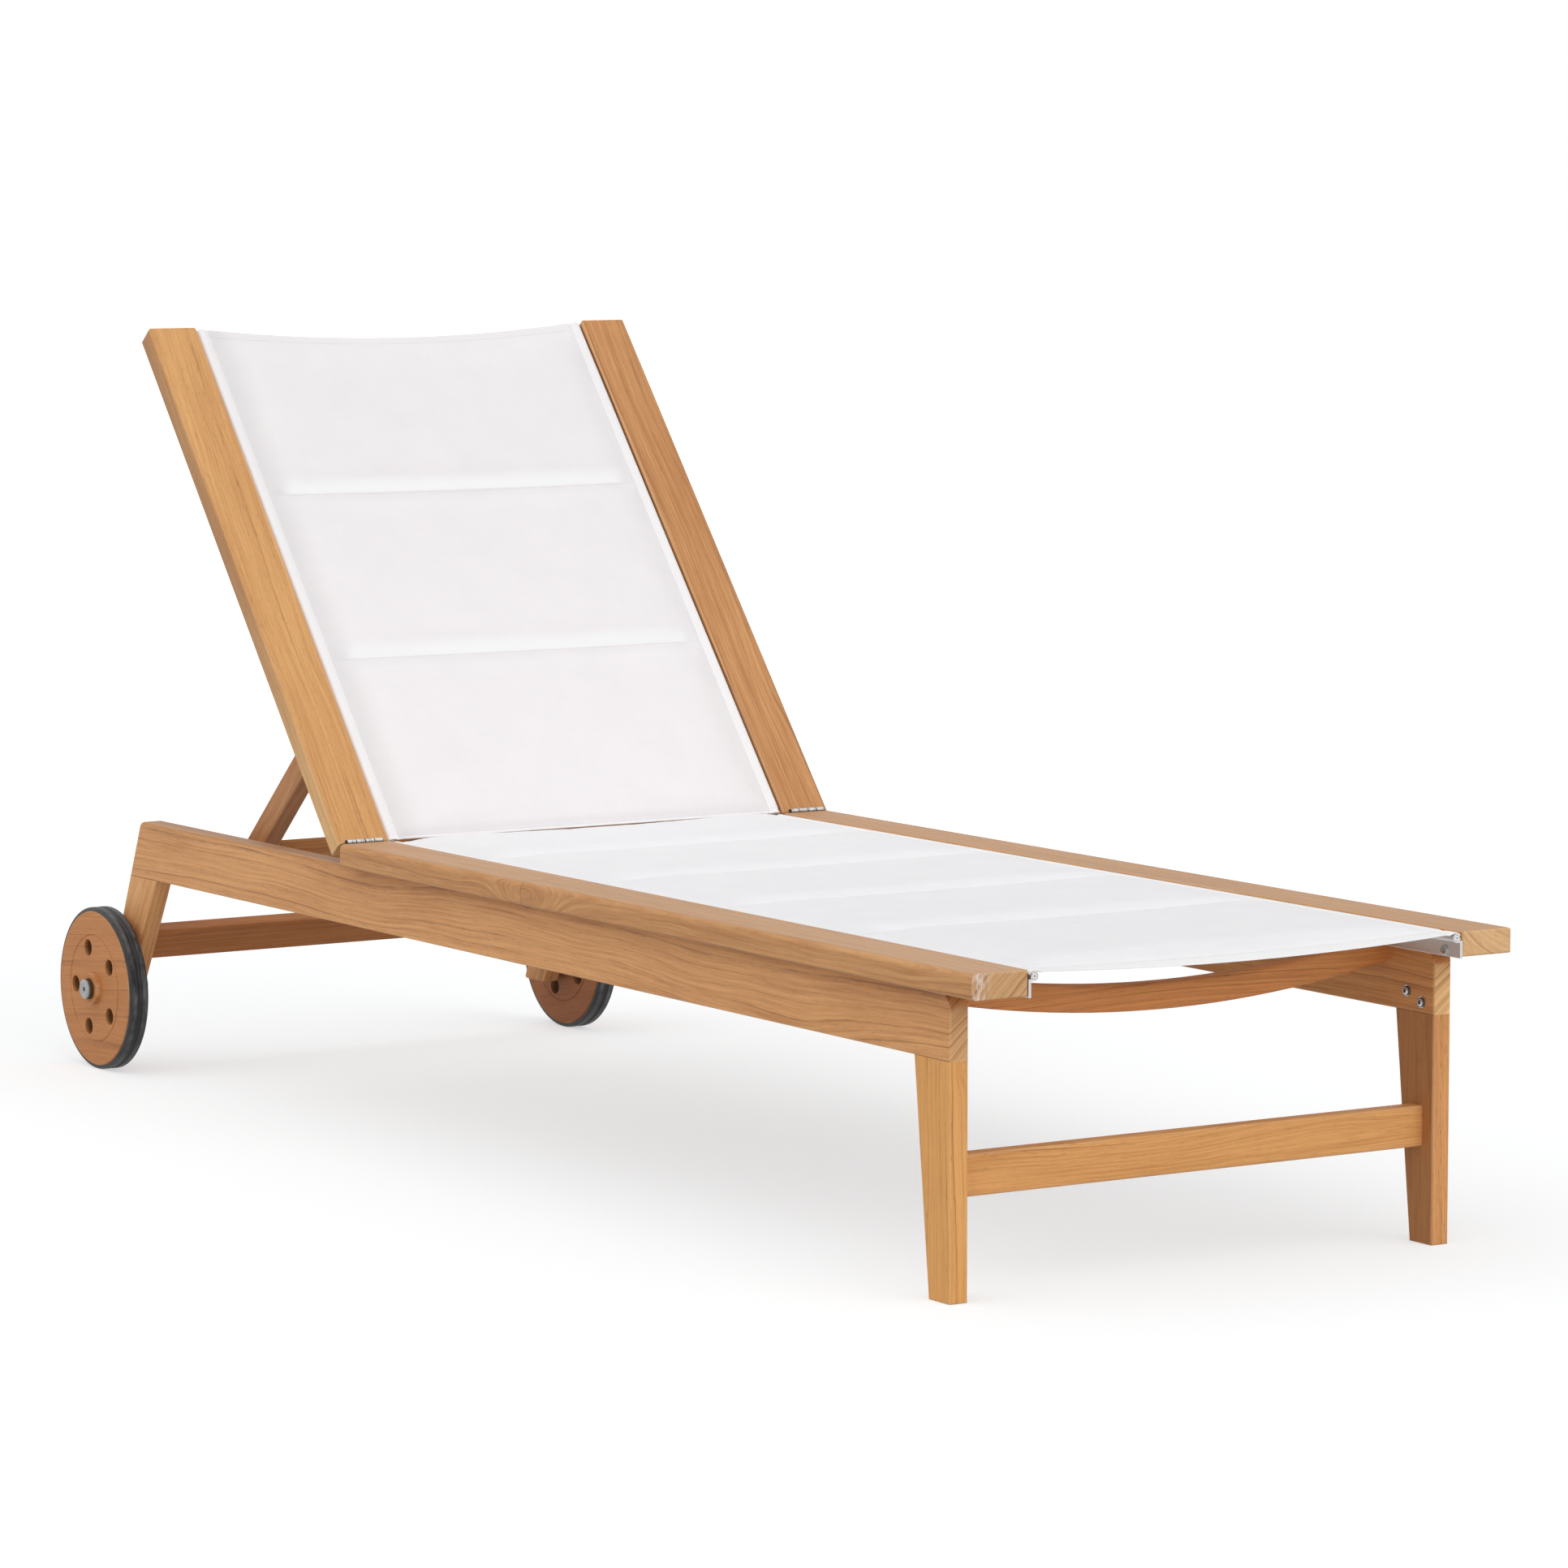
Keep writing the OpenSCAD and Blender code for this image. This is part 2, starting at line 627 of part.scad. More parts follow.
// Section of a track: a screw web with a slotted tube above it. The slot faces the rail, so that the
// sling's edge passes over the tube and in from behind.
slot_angle = 18;
web_z1 = track_zc - track_r * 0.6;
module track_section() difference() {
  union() {
    soft_rect([web_x0, rail_z0 - web_drop], [rail_x0, web_z1], [0.8, 0.8, 0.3, 0.3]);
    translate([track_xc, web_z1 - 2]) square([web_x0 - track_xc + 1, 2]);
    translate([track_xc, track_zc]) circle(track_r);
  }
  translate([track_xc, track_zc]) circle(track_r - track_wall);
  translate([track_xc, track_zc]) rotate(slot_angle)
    translate([0, -track_slot / 2]) square([track_r + 2, track_slot]);
}

module track(y0, y1, places) difference() {
  along_y(y0, y1) track_section();
  for (y = places)
    translate([web_x0 - 1, y, track_screw_z]) rod(0, web_t + 2, screw_r + fit_gap);
}

module track_screws(places)
  for (s = [-1, 1], y = places)
    side(s) translate([web_x0, y, track_screw_z]) rotate([0, -90, 0]) pan_screw(14);

module keders(y0, y1)
  for (s = [-1, 1])
    side(s) along_y(y0, y1) translate([track_xc, track_zc]) difference() {
      circle(keder_r);
      circle(keder_r / 3);
    }

// The plain body of a padded sling between its two tracks
module sling(y0, y1)
  translate([-sling_x1, y0, sling_z1 - sling_t]) cube([2 * sling_x1, y1 - y0, sling_t]);

seat_track_y1 = seat_l - knuckle_r - 1;
back_track_y0 = seat_l + knuckle_r + 1;
back_track_y1 = board_y1 - 2;

module seat_track_left() color("lightgray") side(-1) place() track(0, seat_track_y1, seat_screws_y);
module seat_track_right() color("lightgray") side(1) place() track(0, seat_track_y1, seat_screws_y);
module seat_track_screws() color("silver") place() track_screws(seat_screws_y);
module seat_keders() color("white") place() keders(0, seat_track_y1);
module seat_sling() color("white") place() sling(sling_front_gap, seat_l - sling_hinge_gap);

module back_track(s) color("lightgray") side(s) place() raise()
  track(back_track_y0, back_track_y1, back_screws_y);
module back_track_left() back_track(-1);
module back_track_right() back_track(1);
module back_track_screws() color("silver") place() raise() track_screws(back_screws_y);
module back_keders() color("white") place() raise() keders(back_track_y0, back_track_y1);
module back_sling() color("white") place() raise() sling(seat_l + sling_hinge_gap, board_y1 - sling_top_gap);

// ---------- Hinges ----------

knuckles = 4;
knuckle_l = hinge_w / knuckles;
hinge_x0 = beam_xc - hinge_w / 2;
leaf_screws_x = [hinge_x0 + hinge_w / 4, hinge_x0 + hinge_w * 3 / 4];
leaf_screw_z = pin_z - pin_up - leaf_h * 0.6;
hinge_shank_r = 1.6;
hinge_screw_l = 20;
hinge_screw_head = hinge_shank_r + leaf_t;

module hinge_screw_places()
  for (x = leaf_screws_x)
    translate([x, 0, leaf_screw_z]) children();

// Shank of a hinge screw along -Z from the leaf's face, grown by a gap for its bore
module hinge_shank(grow)
  translate([0, 0, -hinge_screw_l - grow]) cylinder(h = hinge_screw_l + grow, r = hinge_shank_r + grow);

// A leaf on the seat's side of the pin; turn is 0 for the first set of knuckles and 1 for the second
module hinge_leaf(turn) difference() {
  union() {
    translate([hinge_x0, seat_l - run_gap - leaf_t, pin_z - pin_up - leaf_h])
      cube([hinge_w, leaf_t, leaf_h + pin_up]);
    for (k = [turn : 2 : knuckles - 1])
      translate([0, seat_l, pin_z])
        rod(hinge_x0 + k * knuckle_l + tenon_gap, hinge_x0 + (k + 1) * knuckle_l - tenon_gap, knuckle_r);
  }
  for (k = [1 - turn : 2 : knuckles - 1])
    translate([0, seat_l, pin_z])
      rod(hinge_x0 + k * knuckle_l - tenon_gap, hinge_x0 + (k + 1) * knuckle_l + tenon_gap,
          knuckle_r + run_gap);
  translate([0, seat_l, pin_z]) rod(beam_xc - hinge_w, beam_xc + hinge_w, hinge_pin_r + fit_gap);
  hinge_screw_places()
    translate([0, rail_y1, 0]) rotate([-90, 0, 0])
      translate([0, 0, -leaf_t])
        cylinder(h = leaf_t, r1 = hinge_shank_r + fit_gap, r2 = hinge_screw_head + fit_gap);
}

// The same, mirrored onto the backrest's side of the pin
module to_back() translate([0, 2 * seat_l, 0]) mirror([0, 1, 0]) children();

module hinge_screws()
  for (s = [-1, 1])
    side(s)
      hinge_screw_places()
        translate([0, rail_y1, 0]) rotate([-90, 0, 0]) {
          hinge_shank(0);
          translate([0, 0, -leaf_t]) cylinder(h = leaf_t, r1 = hinge_shank_r, r2 = hinge_screw_head);
        }

module seat_hinge_leaf_left() color("silver") side(-1) place() hinge_leaf(0);
module seat_hinge_leaf_right() color("silver") side(1) place() hinge_leaf(0);
module back_hinge_leaf_left() color("silver") side(-1) place() raise() to_back() hinge_leaf(1);
module back_hinge_leaf_right() color("silver") side(1) place() raise() to_back() hinge_leaf(1);
module seat_hinge_screws() color("silver") place() hinge_screws();
module back_hinge_screws() color("silver") place() raise() to_back() hinge_screws();
module hinge_pins() color("silver") place()
  for (s = [-1, 1])
    side(s) translate([0, seat_l, pin_z]) rod(hinge_x0 - 0.2, hinge_x0 + hinge_w + 0.2, hinge_pin_r);

// ---------- Backrest ----------

module back_board(s) color(teak) side(s) place() raise() difference() {
  rail_board(board_y0, board_y1, board_z0, [1, 1, 6, 6]);
  to_back() hinge_recess();
  to_back() hinge_screw_places() translate([0, rail_y1, 0]) rotate([-90, 0, 0]) hinge_shank(fit_gap);
  track_screw_bores(back_screws_y, fit_gap);
  bow_screw_places(low_bow_y, top_bow_y) cylinder(h = 14, r = screw_r + fit_gap);
  bracket_screw_places() cylinder(h = 14, r = screw_r + fit_gap);
}
module back_board_left() back_board(-1);
module back_board_right() back_board(1);

back_bow_x = beam_x0 - side_gap;
module low_bow_rail() color(teak_dark) place() raise() bow_rail(low_bow_y, back_bow_x, board_z0);
module top_bow_rail() color(teak_dark) place() raise() bow_rail(top_bow_y, back_bow_x, board_z0);
module back_bow_screws() color("silver") place() raise() bow_screws(low_bow_y, top_bow_y);

// ---------- Prop ----------

pivot_y = seat_l + pivot_s;
pivot_z = seat_h - pivot_d;
bracket_half = 22;
bracket_end_r = strut_d / 2 - 3;
bracket_screw_x = (bracket_x0 + bracket_t + bracket_x1) / 2;

module bracket_screw_places()
  for (d = [-1, 1])
    translate([bracket_screw_x, pivot_y + d * (bracket_half - 7), board_z0 - 1]) children();

module pivot_bracket(s) color("silver") side(s) place() raise() difference() {
  union() {
    translate([bracket_x0, pivot_y - bracket_half, board_z0 - bracket_t])
      cube([bracket_x1 - bracket_x0, 2 * bracket_half, bracket_t]);
    along_x(bracket_x0, bracket_x0 + bracket_t) {
      translate([pivot_y, pivot_z]) circle(bracket_end_r);
      polygon([[pivot_y - bracket_half, board_z0 - bracket_t], [pivot_y + bracket_half, board_z0 - bracket_t],
               [pivot_y + bracket_end_r, pivot_z], [pivot_y - bracket_end_r, pivot_z]]);
    }
  }
  translate([0, pivot_y, pivot_z]) rod(bracket_x0 - 1, bracket_x0 + bracket_t + 1, pivot_r + fit_gap);
  bracket_screw_places() translate([0, 0, -10]) cylinder(h = 20, r = screw_r + fit_gap);
}
module pivot_bracket_left() pivot_bracket(-1);
module pivot_bracket_right() pivot_bracket(1);

module bracket_screws() color("silver") place() raise()
  for (s = [-1, 1])
    side(s) bracket_screw_places() translate([0, 0, 1 - bracket_t]) rotate([180, 0, 0]) pan_screw(14);

module pivot_bolts() color("silver") place() raise()
  for (s = [-1, 1])
    side(s) translate([0, pivot_y, pivot_z]) {
      rod(strut_x0 - run_gap, bracket_x0 + bracket_t + nut_h + 1, pivot_r);
      rod(strut_x0 - run_gap - 4, strut_x0 - run_gap, pivot_r * 1.8);
    }

module pivot_nuts() color("silver") place() raise()
  for (s = [-1, 1])
    side(s) translate([bracket_x0 + bracket_t, pivot_y, pivot_z]) rotate([0, 90, 0]) difference() {
      cylinder(h = nut_h, r = pivot_r * 1.75, $fn = 6);
      translate([0, 0, -1]) cylinder(h = nut_h + 2, r = pivot_r + fit_gap);
    }

module prop_strut(s) color(teak) side(s) place() prop_place() difference() {
  intersection() {
    along_x(strut_x0, strut_x1)
      soft_rect([-strut_d / 2, -strut_d / 2], [prop_l + strut_d / 2, strut_d / 2],
                [for (i = [0 : 3]) strut_d / 2 - eps]);
    along_y(-strut_d, prop_l + strut_d)
      soft_rect([strut_x0, -strut_d / 2], [strut_x1, strut_d / 2], [for (i = [0 : 3]) edge_round - 1]);
  }
  rod(strut_x0 - 1, strut_x1 + 1, pivot_r + fit_gap);
  translate([0, prop_l, 0]) rod(strut_x0 - 1, strut_x1 + 1, dowel_r + fit_gap / 2);
}
module prop_strut_left() prop_strut(-1);
module prop_strut_right() prop_strut(1);

module prop_rail() color(teak_dark) place() prop_place()
  along_x(-strut_x0, strut_x0)
    soft_rect([prop_l - prop_rail_set - prop_rail_h, -strut_d / 2],
              [prop_l - prop_rail_set, -strut_d / 2 + prop_rail_t], [for (i = [0 : 3]) edge_round - 1]);

module prop_dowel() color(teak_dark) place() prop_place()
  translate([0, prop_l, 0]) rod(-dowel_x1, dowel_x1, dowel_r);

// ---------- Wheels ----------

disc_r = tyre_r - tyre_t;
bush_r = axle_r + 5;
groove_r = disc_r * 0.69;

module wheel_place(s) side(s) place() translate([0, wheel_y, tyre_r]) rotate([0, 90, 0]) children();

module wheel_disc(s) color(teak) wheel_place(s) difference() {
  rotate_extrude($fn = 180)
    difference() {
      soft_rect([bush_r + fit_gap, disc_x0], [disc_r, disc_x1], [0, 2, 2, 0]);
      for (z = [disc_x0, disc_x1])
        translate([groove_r, z]) circle(0.9);
    }
  for (i = [0 : 4])
    rotate(i * 72 + 18) translate([disc_hole_pcr, 0, disc_x0 - 1]) cylinder(h = disc_t + 2, r = disc_hole_r);
}
module wheel_disc_left() wheel_disc(-1);
module wheel_disc_right() wheel_disc(1);

// A tyre with two rounded ridges and a groove between them
module tyre(s) color("dimgray") wheel_place(s)
  rotate_extrude($fn = 180)
    difference() {
      soft_rect([disc_r, disc_x0 + 1], [tyre_r, disc_x1 - 1], [0, tyre_t - 1, tyre_t - 1, 0]);
      translate([tyre_r + 0.6, (disc_x0 + disc_x1) / 2]) circle(2.6);
    }
module tyre_left() tyre(-1);
module tyre_right() tyre(1);

module hub_bush(s) color("dimgray") wheel_place(s) translate([0, 0, disc_x0]) difference() {
  union() {
    cylinder(h = disc_t, r = bush_r);
    translate([0, 0, disc_t]) cylinder(h = flange_t, r = hub_r);
  }
  translate([0, 0, -1]) cylinder(h = disc_t + flange_t + 2, r = axle_r + fit_gap);
}
module hub_bush_left() hub_bush(-1);
module hub_bush_right() hub_bush(1);

axle_x0 = beam_x0 - axle_washer_t - axle_nut_h - 2;
axle_x1 = cap_x0 + cap_l / 2;
module axle(s) color("silver") wheel_place(s)
  translate([0, 0, axle_x0]) cylinder(h = axle_x1 - axle_x0, r = axle_r);
module axle_left() axle(-1);
module axle_right() axle(1);

module axle_nuts() color("silver")
  for (s = [-1, 1])
    wheel_place(s) translate([0, 0, beam_x0 - axle_washer_t - axle_nut_h]) difference() {
      cylinder(h = axle_nut_h, r = axle_r * 1.8, $fn = 6);
      translate([0, 0, -1]) cylinder(h = axle_nut_h + 2, r = axle_r + fit_gap / 2);
    }

// A washer inside each rear leg and a spacer between the leg and the wheel
module axle_washers() color("silver")
  for (s = [-1, 1])
    wheel_place(s) difference() {
      union() {
        translate([0, 0, beam_x0 - axle_washer_t]) cylinder(h = axle_washer_t, r = axle_r * 2);
        translate([0, 0, beam_x1]) cylinder(h = wheel_gap - run_gap, r = axle_r * 1.7);
      }
      translate([0, 0, beam_x0 - 10]) cylinder(h = beam_t + wheel_gap + 20, r = axle_r + fit_gap / 2);
    }

// Caps on the axles' ends, each with a small hole in its middle
module hub_caps() color("silver")
  for (s = [-1, 1])
    wheel_place(s) translate([0, 0, cap_x0]) difference() {
      rotate_extrude() soft_rect([0, 0], [cap_r, cap_l], [0, 0.5, 4, 0]);
      translate([0, 0, -1]) cylinder(h = cap_l / 2 + 1 + fit_gap, r = axle_r + fit_gap / 2);
      translate([0, 0, cap_l / 2]) cylinder(h = cap_l, r = cap_r / 4);
    }

// ---------- Parts ----------

seat_rail_left();
seat_rail_right();
beam_left();
beam_right();
front_leg_left();
front_leg_right();
rear_leg_left();
rear_leg_right();
front_stretcher();
rear_stretcher();
front_bow_rail();
rear_bow_rail();
rail_dowels();
leg_bolts();
leg_washers();
rack_left();
rack_right();
frame_screws();
seat_track_left();
seat_track_right();
seat_track_screws();
seat_keders();
seat_sling();
seat_hinge_leaf_left();
seat_hinge_leaf_right();
hinge_pins();
seat_hinge_screws();
axle_left();
axle_right();
axle_nuts();
axle_washers();
hub_caps();
back_board_left();
back_board_right();
low_bow_rail();
top_bow_rail();
back_bow_screws();
back_track_left();
back_track_right();
back_track_screws();
back_keders();
back_sling();
back_hinge_leaf_left();
back_hinge_leaf_right();
back_hinge_screws();
pivot_bracket_left();
pivot_bracket_right();
bracket_screws();
pivot_bolts();
pivot_nuts();
prop_strut_left();
prop_strut_right();
prop_rail();
prop_dowel();
wheel_disc_left();
wheel_disc_right();
tyre_left();
tyre_right();
hub_bush_left();
hub_bush_right();
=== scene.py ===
import json
from math import atan2, copysign, cos, exp, hypot, pi, radians, sin, tanh
import bpy
from mathutils import Matrix, Vector
from mathutils.bvhtree import BVHTree


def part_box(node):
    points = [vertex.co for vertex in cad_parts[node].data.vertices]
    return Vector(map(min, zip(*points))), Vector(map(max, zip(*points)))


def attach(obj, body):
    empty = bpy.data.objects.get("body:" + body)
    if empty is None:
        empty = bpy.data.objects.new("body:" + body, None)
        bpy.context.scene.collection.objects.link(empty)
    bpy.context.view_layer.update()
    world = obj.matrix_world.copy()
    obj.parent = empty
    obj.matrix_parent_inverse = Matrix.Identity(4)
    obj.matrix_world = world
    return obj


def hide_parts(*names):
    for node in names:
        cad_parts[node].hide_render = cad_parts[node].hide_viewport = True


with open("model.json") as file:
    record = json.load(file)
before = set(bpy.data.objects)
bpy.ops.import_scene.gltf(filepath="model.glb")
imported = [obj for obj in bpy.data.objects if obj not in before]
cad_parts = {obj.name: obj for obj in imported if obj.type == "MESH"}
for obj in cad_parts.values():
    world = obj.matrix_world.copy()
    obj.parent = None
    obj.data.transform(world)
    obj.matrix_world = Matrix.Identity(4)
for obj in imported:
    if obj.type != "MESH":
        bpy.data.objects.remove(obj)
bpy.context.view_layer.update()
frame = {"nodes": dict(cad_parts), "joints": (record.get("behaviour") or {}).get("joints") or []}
nodes = frame["nodes"]
print("frame loaded:", len(nodes), "parts")

scene = bpy.context.scene
scene.view_settings.view_transform = "Standard"

# camera, floor and light

cameraValues = {
    "place": (-3.5293, -5.6921, 1.1169),
    "heading": 32.4103,  # degrees from +Y towards +X
    "tilt": -6.0758,
    "lens": 140.09,
    "sensor": 36.0,
    "reach": 200.0,
}

studioValues = {
    "floorSize": 90.0,
    "floorColour": (0.70, 0.70, 0.70, 1),
    "floorSeen": (0.928, 0.950, 0.965, 1),  # the camera sees a paler floor than the lounger does
    "floorRoughness": 0.9,
    "floorGlow": 0.44,  # share of plain white that the camera sees in the floor
    "floorWhite": 1.25,
    "farFloor": (1.6, 4.5),  # the floor turns plain white between these distances
    "skyLevel": 0.45,
    "skyRise": (0.08, 0.40),  # little light comes from near the horizon
    "lobes": [
        {"way": (0.12, -0.95, 0.26), "sharp": 5.0, "level": 2.22, "rise": (0.05, 0.20)},
        {"way": (-0.72, 0.05, 0.69), "sharp": 4.0, "level": 1.02, "rise": (0.0, 0.05)},
    ],
    "softbox": {"place": (-0.1, 1.0, 3.3), "size": (1.3, 1.7), "power": 6.0},
}

white = (1, 1, 1, 1)
black = (0.0, 0.0, 0.0, 1)


def deselectAll():
    if bpy.context.object and bpy.context.object.mode != "OBJECT":
        bpy.ops.object.mode_set(mode="OBJECT")
    bpy.ops.object.select_all(action="DESELECT")


def choose(piece):
    deselectAll()
    piece.select_set(True)
    bpy.context.view_layer.objects.active = piece


def operator(operation, swapped=False):
    def apply(wire, value):
        pair = (value, wire) if swapped else (wire, value)
        return wire.maker.one(operation, *pair)
    return apply


class Wire:
    # a value leaving a node, so that sums are written as plain arithmetic
    def __init__(self, maker, socket):
        self.maker = maker
        self.socket = socket

    def other(self, key):
        return Wire(self.maker, self.socket.node.outputs[key])

    __add__, __radd__ = operator("ADD"), operator("ADD", True)
    __sub__, __rsub__ = operator("SUBTRACT"), operator("SUBTRACT", True)
    __mul__, __rmul__ = operator("MULTIPLY"), operator("MULTIPLY", True)
    __truediv__, __pow__ = operator("DIVIDE"), operator("POWER")

    def __neg__(self):
        return self * -1.0


class Maker:
    # adds nodes to one material or world
    def __init__(self, owner):
        owner.use_nodes = True
        self.owner = owner
        self.tree = owner.node_tree

    def node(self, kind, settings=None, sockets=None, out=0):
        made = self.tree.nodes.new(kind)
        for key, value in (settings or {}).items():
            setattr(made, key, value)
        for key, value in (sockets or {}).items():
            if isinstance(value, Wire):
                self.tree.links.new(value.socket, made.inputs[key])
            else:
                made.inputs[key].default_value = value
        return Wire(self, made.outputs[out])

    def one(self, operation, value, second=0.0):
        return self.node("ShaderNodeMath", {"operation": operation}, {0: value, 1: second})

    def size(self, value):
        return self.one("ABSOLUTE", value)

    def least(self, first, second):
        return self.one("MINIMUM", first, second)

    def most(self, first, second):
        return self.one("MAXIMUM", first, second)

    def ramp(self, value, low, high, start=0.0, end=1.0):
        return self.node(
            "ShaderNodeMapRange", {"interpolation_type": "SMOOTHSTEP"},
            {0: value, 1: low, 2: high, 3: start, 4: end})

    def objectPlace(self):
        return self.node("ShaderNodeTexCoord", out="Object")

    def turnedPlace(self, middle, turn):
        return self.node(
            "ShaderNodeMapping", {"vector_type": "TEXTURE"},
            {"Vector": self.objectPlace(), "Location": middle, "Rotation": turn})

    def split(self, vector):
        parts = self.node("ShaderNodeSeparateXYZ", {}, {0: vector})
        return parts, parts.other(1), parts.other(2)

    def joined(self, x, y=0.0, z=0.0):
        return self.node("ShaderNodeCombineXYZ", {}, {0: x, 1: y, 2: z})

    def noise(self, vector, sizes=None, shift=(0.0, 0.0, 0.0), detail=2.0, roughness=0.5):
        if sizes:  # finer along an axis where the size is larger
            vector = self.node(
                "ShaderNodeVectorMath", {"operation": "MULTIPLY_ADD"}, {0: vector, 1: sizes, 2: shift})
        return self.node(
            "ShaderNodeTexNoise", {},
            {"Vector": vector, "Scale": 1.0, "Detail": detail, "Roughness": roughness})

    def blended(self, share, first, second, blend="MIX"):
        return self.node(
            "ShaderNodeMix", {"data_type": "RGBA", "blend_type": blend, "clamp_factor": True},
            {0: share, 6: first, 7: second}, 2)

    def tinted(self, share, colour, tint):
        return self.blended(share, colour, tint + (1,), "MULTIPLY")

    def bump(self, height, strength, distance):
        return self.node(
            "ShaderNodeBump", {}, {"Strength": strength, "Distance": distance, "Height": height})

    def surface(self, colour, roughness=None, normal=None):
        # joins what changes over the surface to the shader
        for name, wire in (("Base Color", colour), ("Roughness", roughness), ("Normal", normal)):
            if wire is not None:
                self.tree.links.new(wire.socket, self.shader.inputs[name])
        return self.owner


def finish(name, **sockets):
    # a material whose one shader takes these values; wires are joined later with surface
    material = bpy.data.materials.new(name)
    maker = Maker(material)
    maker.shader = maker.tree.nodes["Principled BSDF"]
    for key, value in sockets.items():
        maker.shader.inputs[key.replace("_", " ")].default_value = value
    return maker


def dress(piece, material):
    piece.data.materials.clear()
    piece.data.materials.append(material)


def named(name):
    piece = bpy.context.object
    piece.name = name
    piece.data.name = name
    return piece


def modified(piece, kind, **settings):
    bpy.ops.object.modifier_add(type=kind)
    modifier = piece.modifiers[-1]
    for key, value in settings.items():
        setattr(modifier, key, value)
    bpy.ops.object.modifier_apply(modifier=modifier.name)


def makeCamera():
    v = cameraValues
    deselectAll()
    bpy.ops.object.camera_add(
        location=v["place"],
        rotation=(radians(90 + v["tilt"]), 0, -radians(v["heading"])))
    camera = bpy.context.object
    camera.name = "camera"
    camera.data.lens = v["lens"]
    camera.data.sensor_width = v["sensor"]
    camera.data.clip_end = v["reach"]
    scene.camera = camera


def makeFloor():
    v = studioValues
    deselectAll()
    bpy.ops.mesh.primitive_plane_add(size=v["floorSize"], location=(0, 0, 0))
    floor = bpy.context.object
    floor.name = "floor"
    m = finish(
        "paleFloor", Base_Color=v["floorColour"], Roughness=v["floorRoughness"],
        Specular_IOR_Level=0.0)
    rays = m.node("ShaderNodeLightPath")
    seen = m.most(rays.other("Is Camera Ray"), rays.other("Is Glossy Ray"))
    plain = m.node("ShaderNodeEmission", {}, {"Color": white, "Strength": v["floorWhite"]})
    away = m.node("ShaderNodeVectorMath", {"operation": "LENGTH"}, {0: m.objectPlace()}, 1)
    m.surface(m.blended(rays.other("Is Camera Ray"), v["floorColour"], v["floorSeen"]))
    glow = m.ramp(away, *v["farFloor"], v["floorGlow"], 1.0)
    mixed = m.node("ShaderNodeMixShader", {}, {0: seen * glow, 2: plain})
    m.tree.links.new(m.shader.outputs[0], mixed.socket.node.inputs[1])
    m.tree.links.new(mixed.socket, m.tree.nodes["Material Output"].inputs[0])
    dress(floor, m.owner)


def makeSky():
    v = studioValues
    world = bpy.data.worlds.new("studio")
    scene.world = world
    m = Maker(world)
    sky = m.tree.nodes["Background"]
    sky.inputs[0].default_value = white
    rays = m.node("ShaderNodeLightPath")
    plain = m.most(
        rays.other("Is Camera Ray"),
        m.most(rays.other("Is Glossy Ray"), rays.other("Is Transmission Ray")))
    direction = m.node("ShaderNodeTexCoord")
    height = m.split(direction)[2]
    lit = m.ramp(height, *v["skyRise"]) * v["skyLevel"]
    for lobe in v["lobes"]:
        facing = m.node(
            "ShaderNodeVectorMath", {"operation": "DOT_PRODUCT"},
            {0: direction, 1: Vector(lobe["way"]).normalized()}, 1)
        lit = lit + m.most(facing, 0.0) ** lobe["sharp"] * lobe["level"] * m.ramp(height, *lobe["rise"])
    level = plain + (1.0 - plain) * lit
    m.tree.links.new(level.socket, sky.inputs[1])


def makeSoftbox():
    v = studioValues["softbox"]
    deselectAll()
    bpy.ops.object.light_add(type="AREA", location=v["place"])
    softbox = bpy.context.object
    softbox.name = "softbox"
    softbox.data.shape = "RECTANGLE"
    softbox.data.size, softbox.data.size_y = v["size"]
    softbox.data.energy = v["power"]


makeCamera()
makeFloor()
makeSky()
makeSoftbox()
print("camera, floor and light done")

# wood

teakLook = {
    "pale": (0.76, 0.400, 0.160, 1),
    "deep": (0.52, 0.228, 0.078, 1),
    "line": (0.235, 0.098, 0.036, 1),
    # the next colour is for rubbed arrises and also stands for painted highlight along the edges
    "wornAndSheen": (0.78, 0.53, 0.31, 1),
    # the next colour is painted sheen on upward faces
    "topSheen": (0.58, 0.35, 0.21, 1),
    "chipped": (0.84, 0.77, 0.72, 1),
    "sawn": (1.0, 1.14, 1.32),
    "roughness": 0.56,
    "gloss": 0.40,
    "drift": 0.010,  # how far the log's heart moves sideways in each metre of a board
    "wave": 0.022, "waveSize": (2.2, 7.0, 7.0),
    "ripple": 0.0024, "rippleSize": (11.0, 38.0, 38.0),
    "streakSize": (5.0, 540.0, 60.0), "fibreSize": (22.0, 1500.0, 400.0),
    "poreSize": (85.0, 1250.0, 1250.0), "cloudSize": (3.2, 16.0, 16.0),
    "chipSize": (300.0, 320.0, 70.0),
    "uneven": 1.5,  # how much the rings' widths differ
    # where each ramp begins and ends, and its values there
    "ringStrength": (0.20, 1.0, 0.06, 1.0), "ringFade": (0.36, 0.62, 0.25, 1.0),
    "lineStart": (0.80, 0.93), "lineStop": (0.955, 0.99, 1.0, 0.0),
    "lateStart": (0.15, 0.92), "lateStop": (0.95, 1.0, 1.0, 0.0),
    "poreEdge": (0.60, 0.72), "rubbedSheenShare": (0.35, 0.65, 0.10, 0.42),
    "poreShare": 0.45, "topSheenShare": 0.40, "holeShadeShare": 0.85,
    "arris": 0.0028, "bump": (0.45, 0.00022),
}

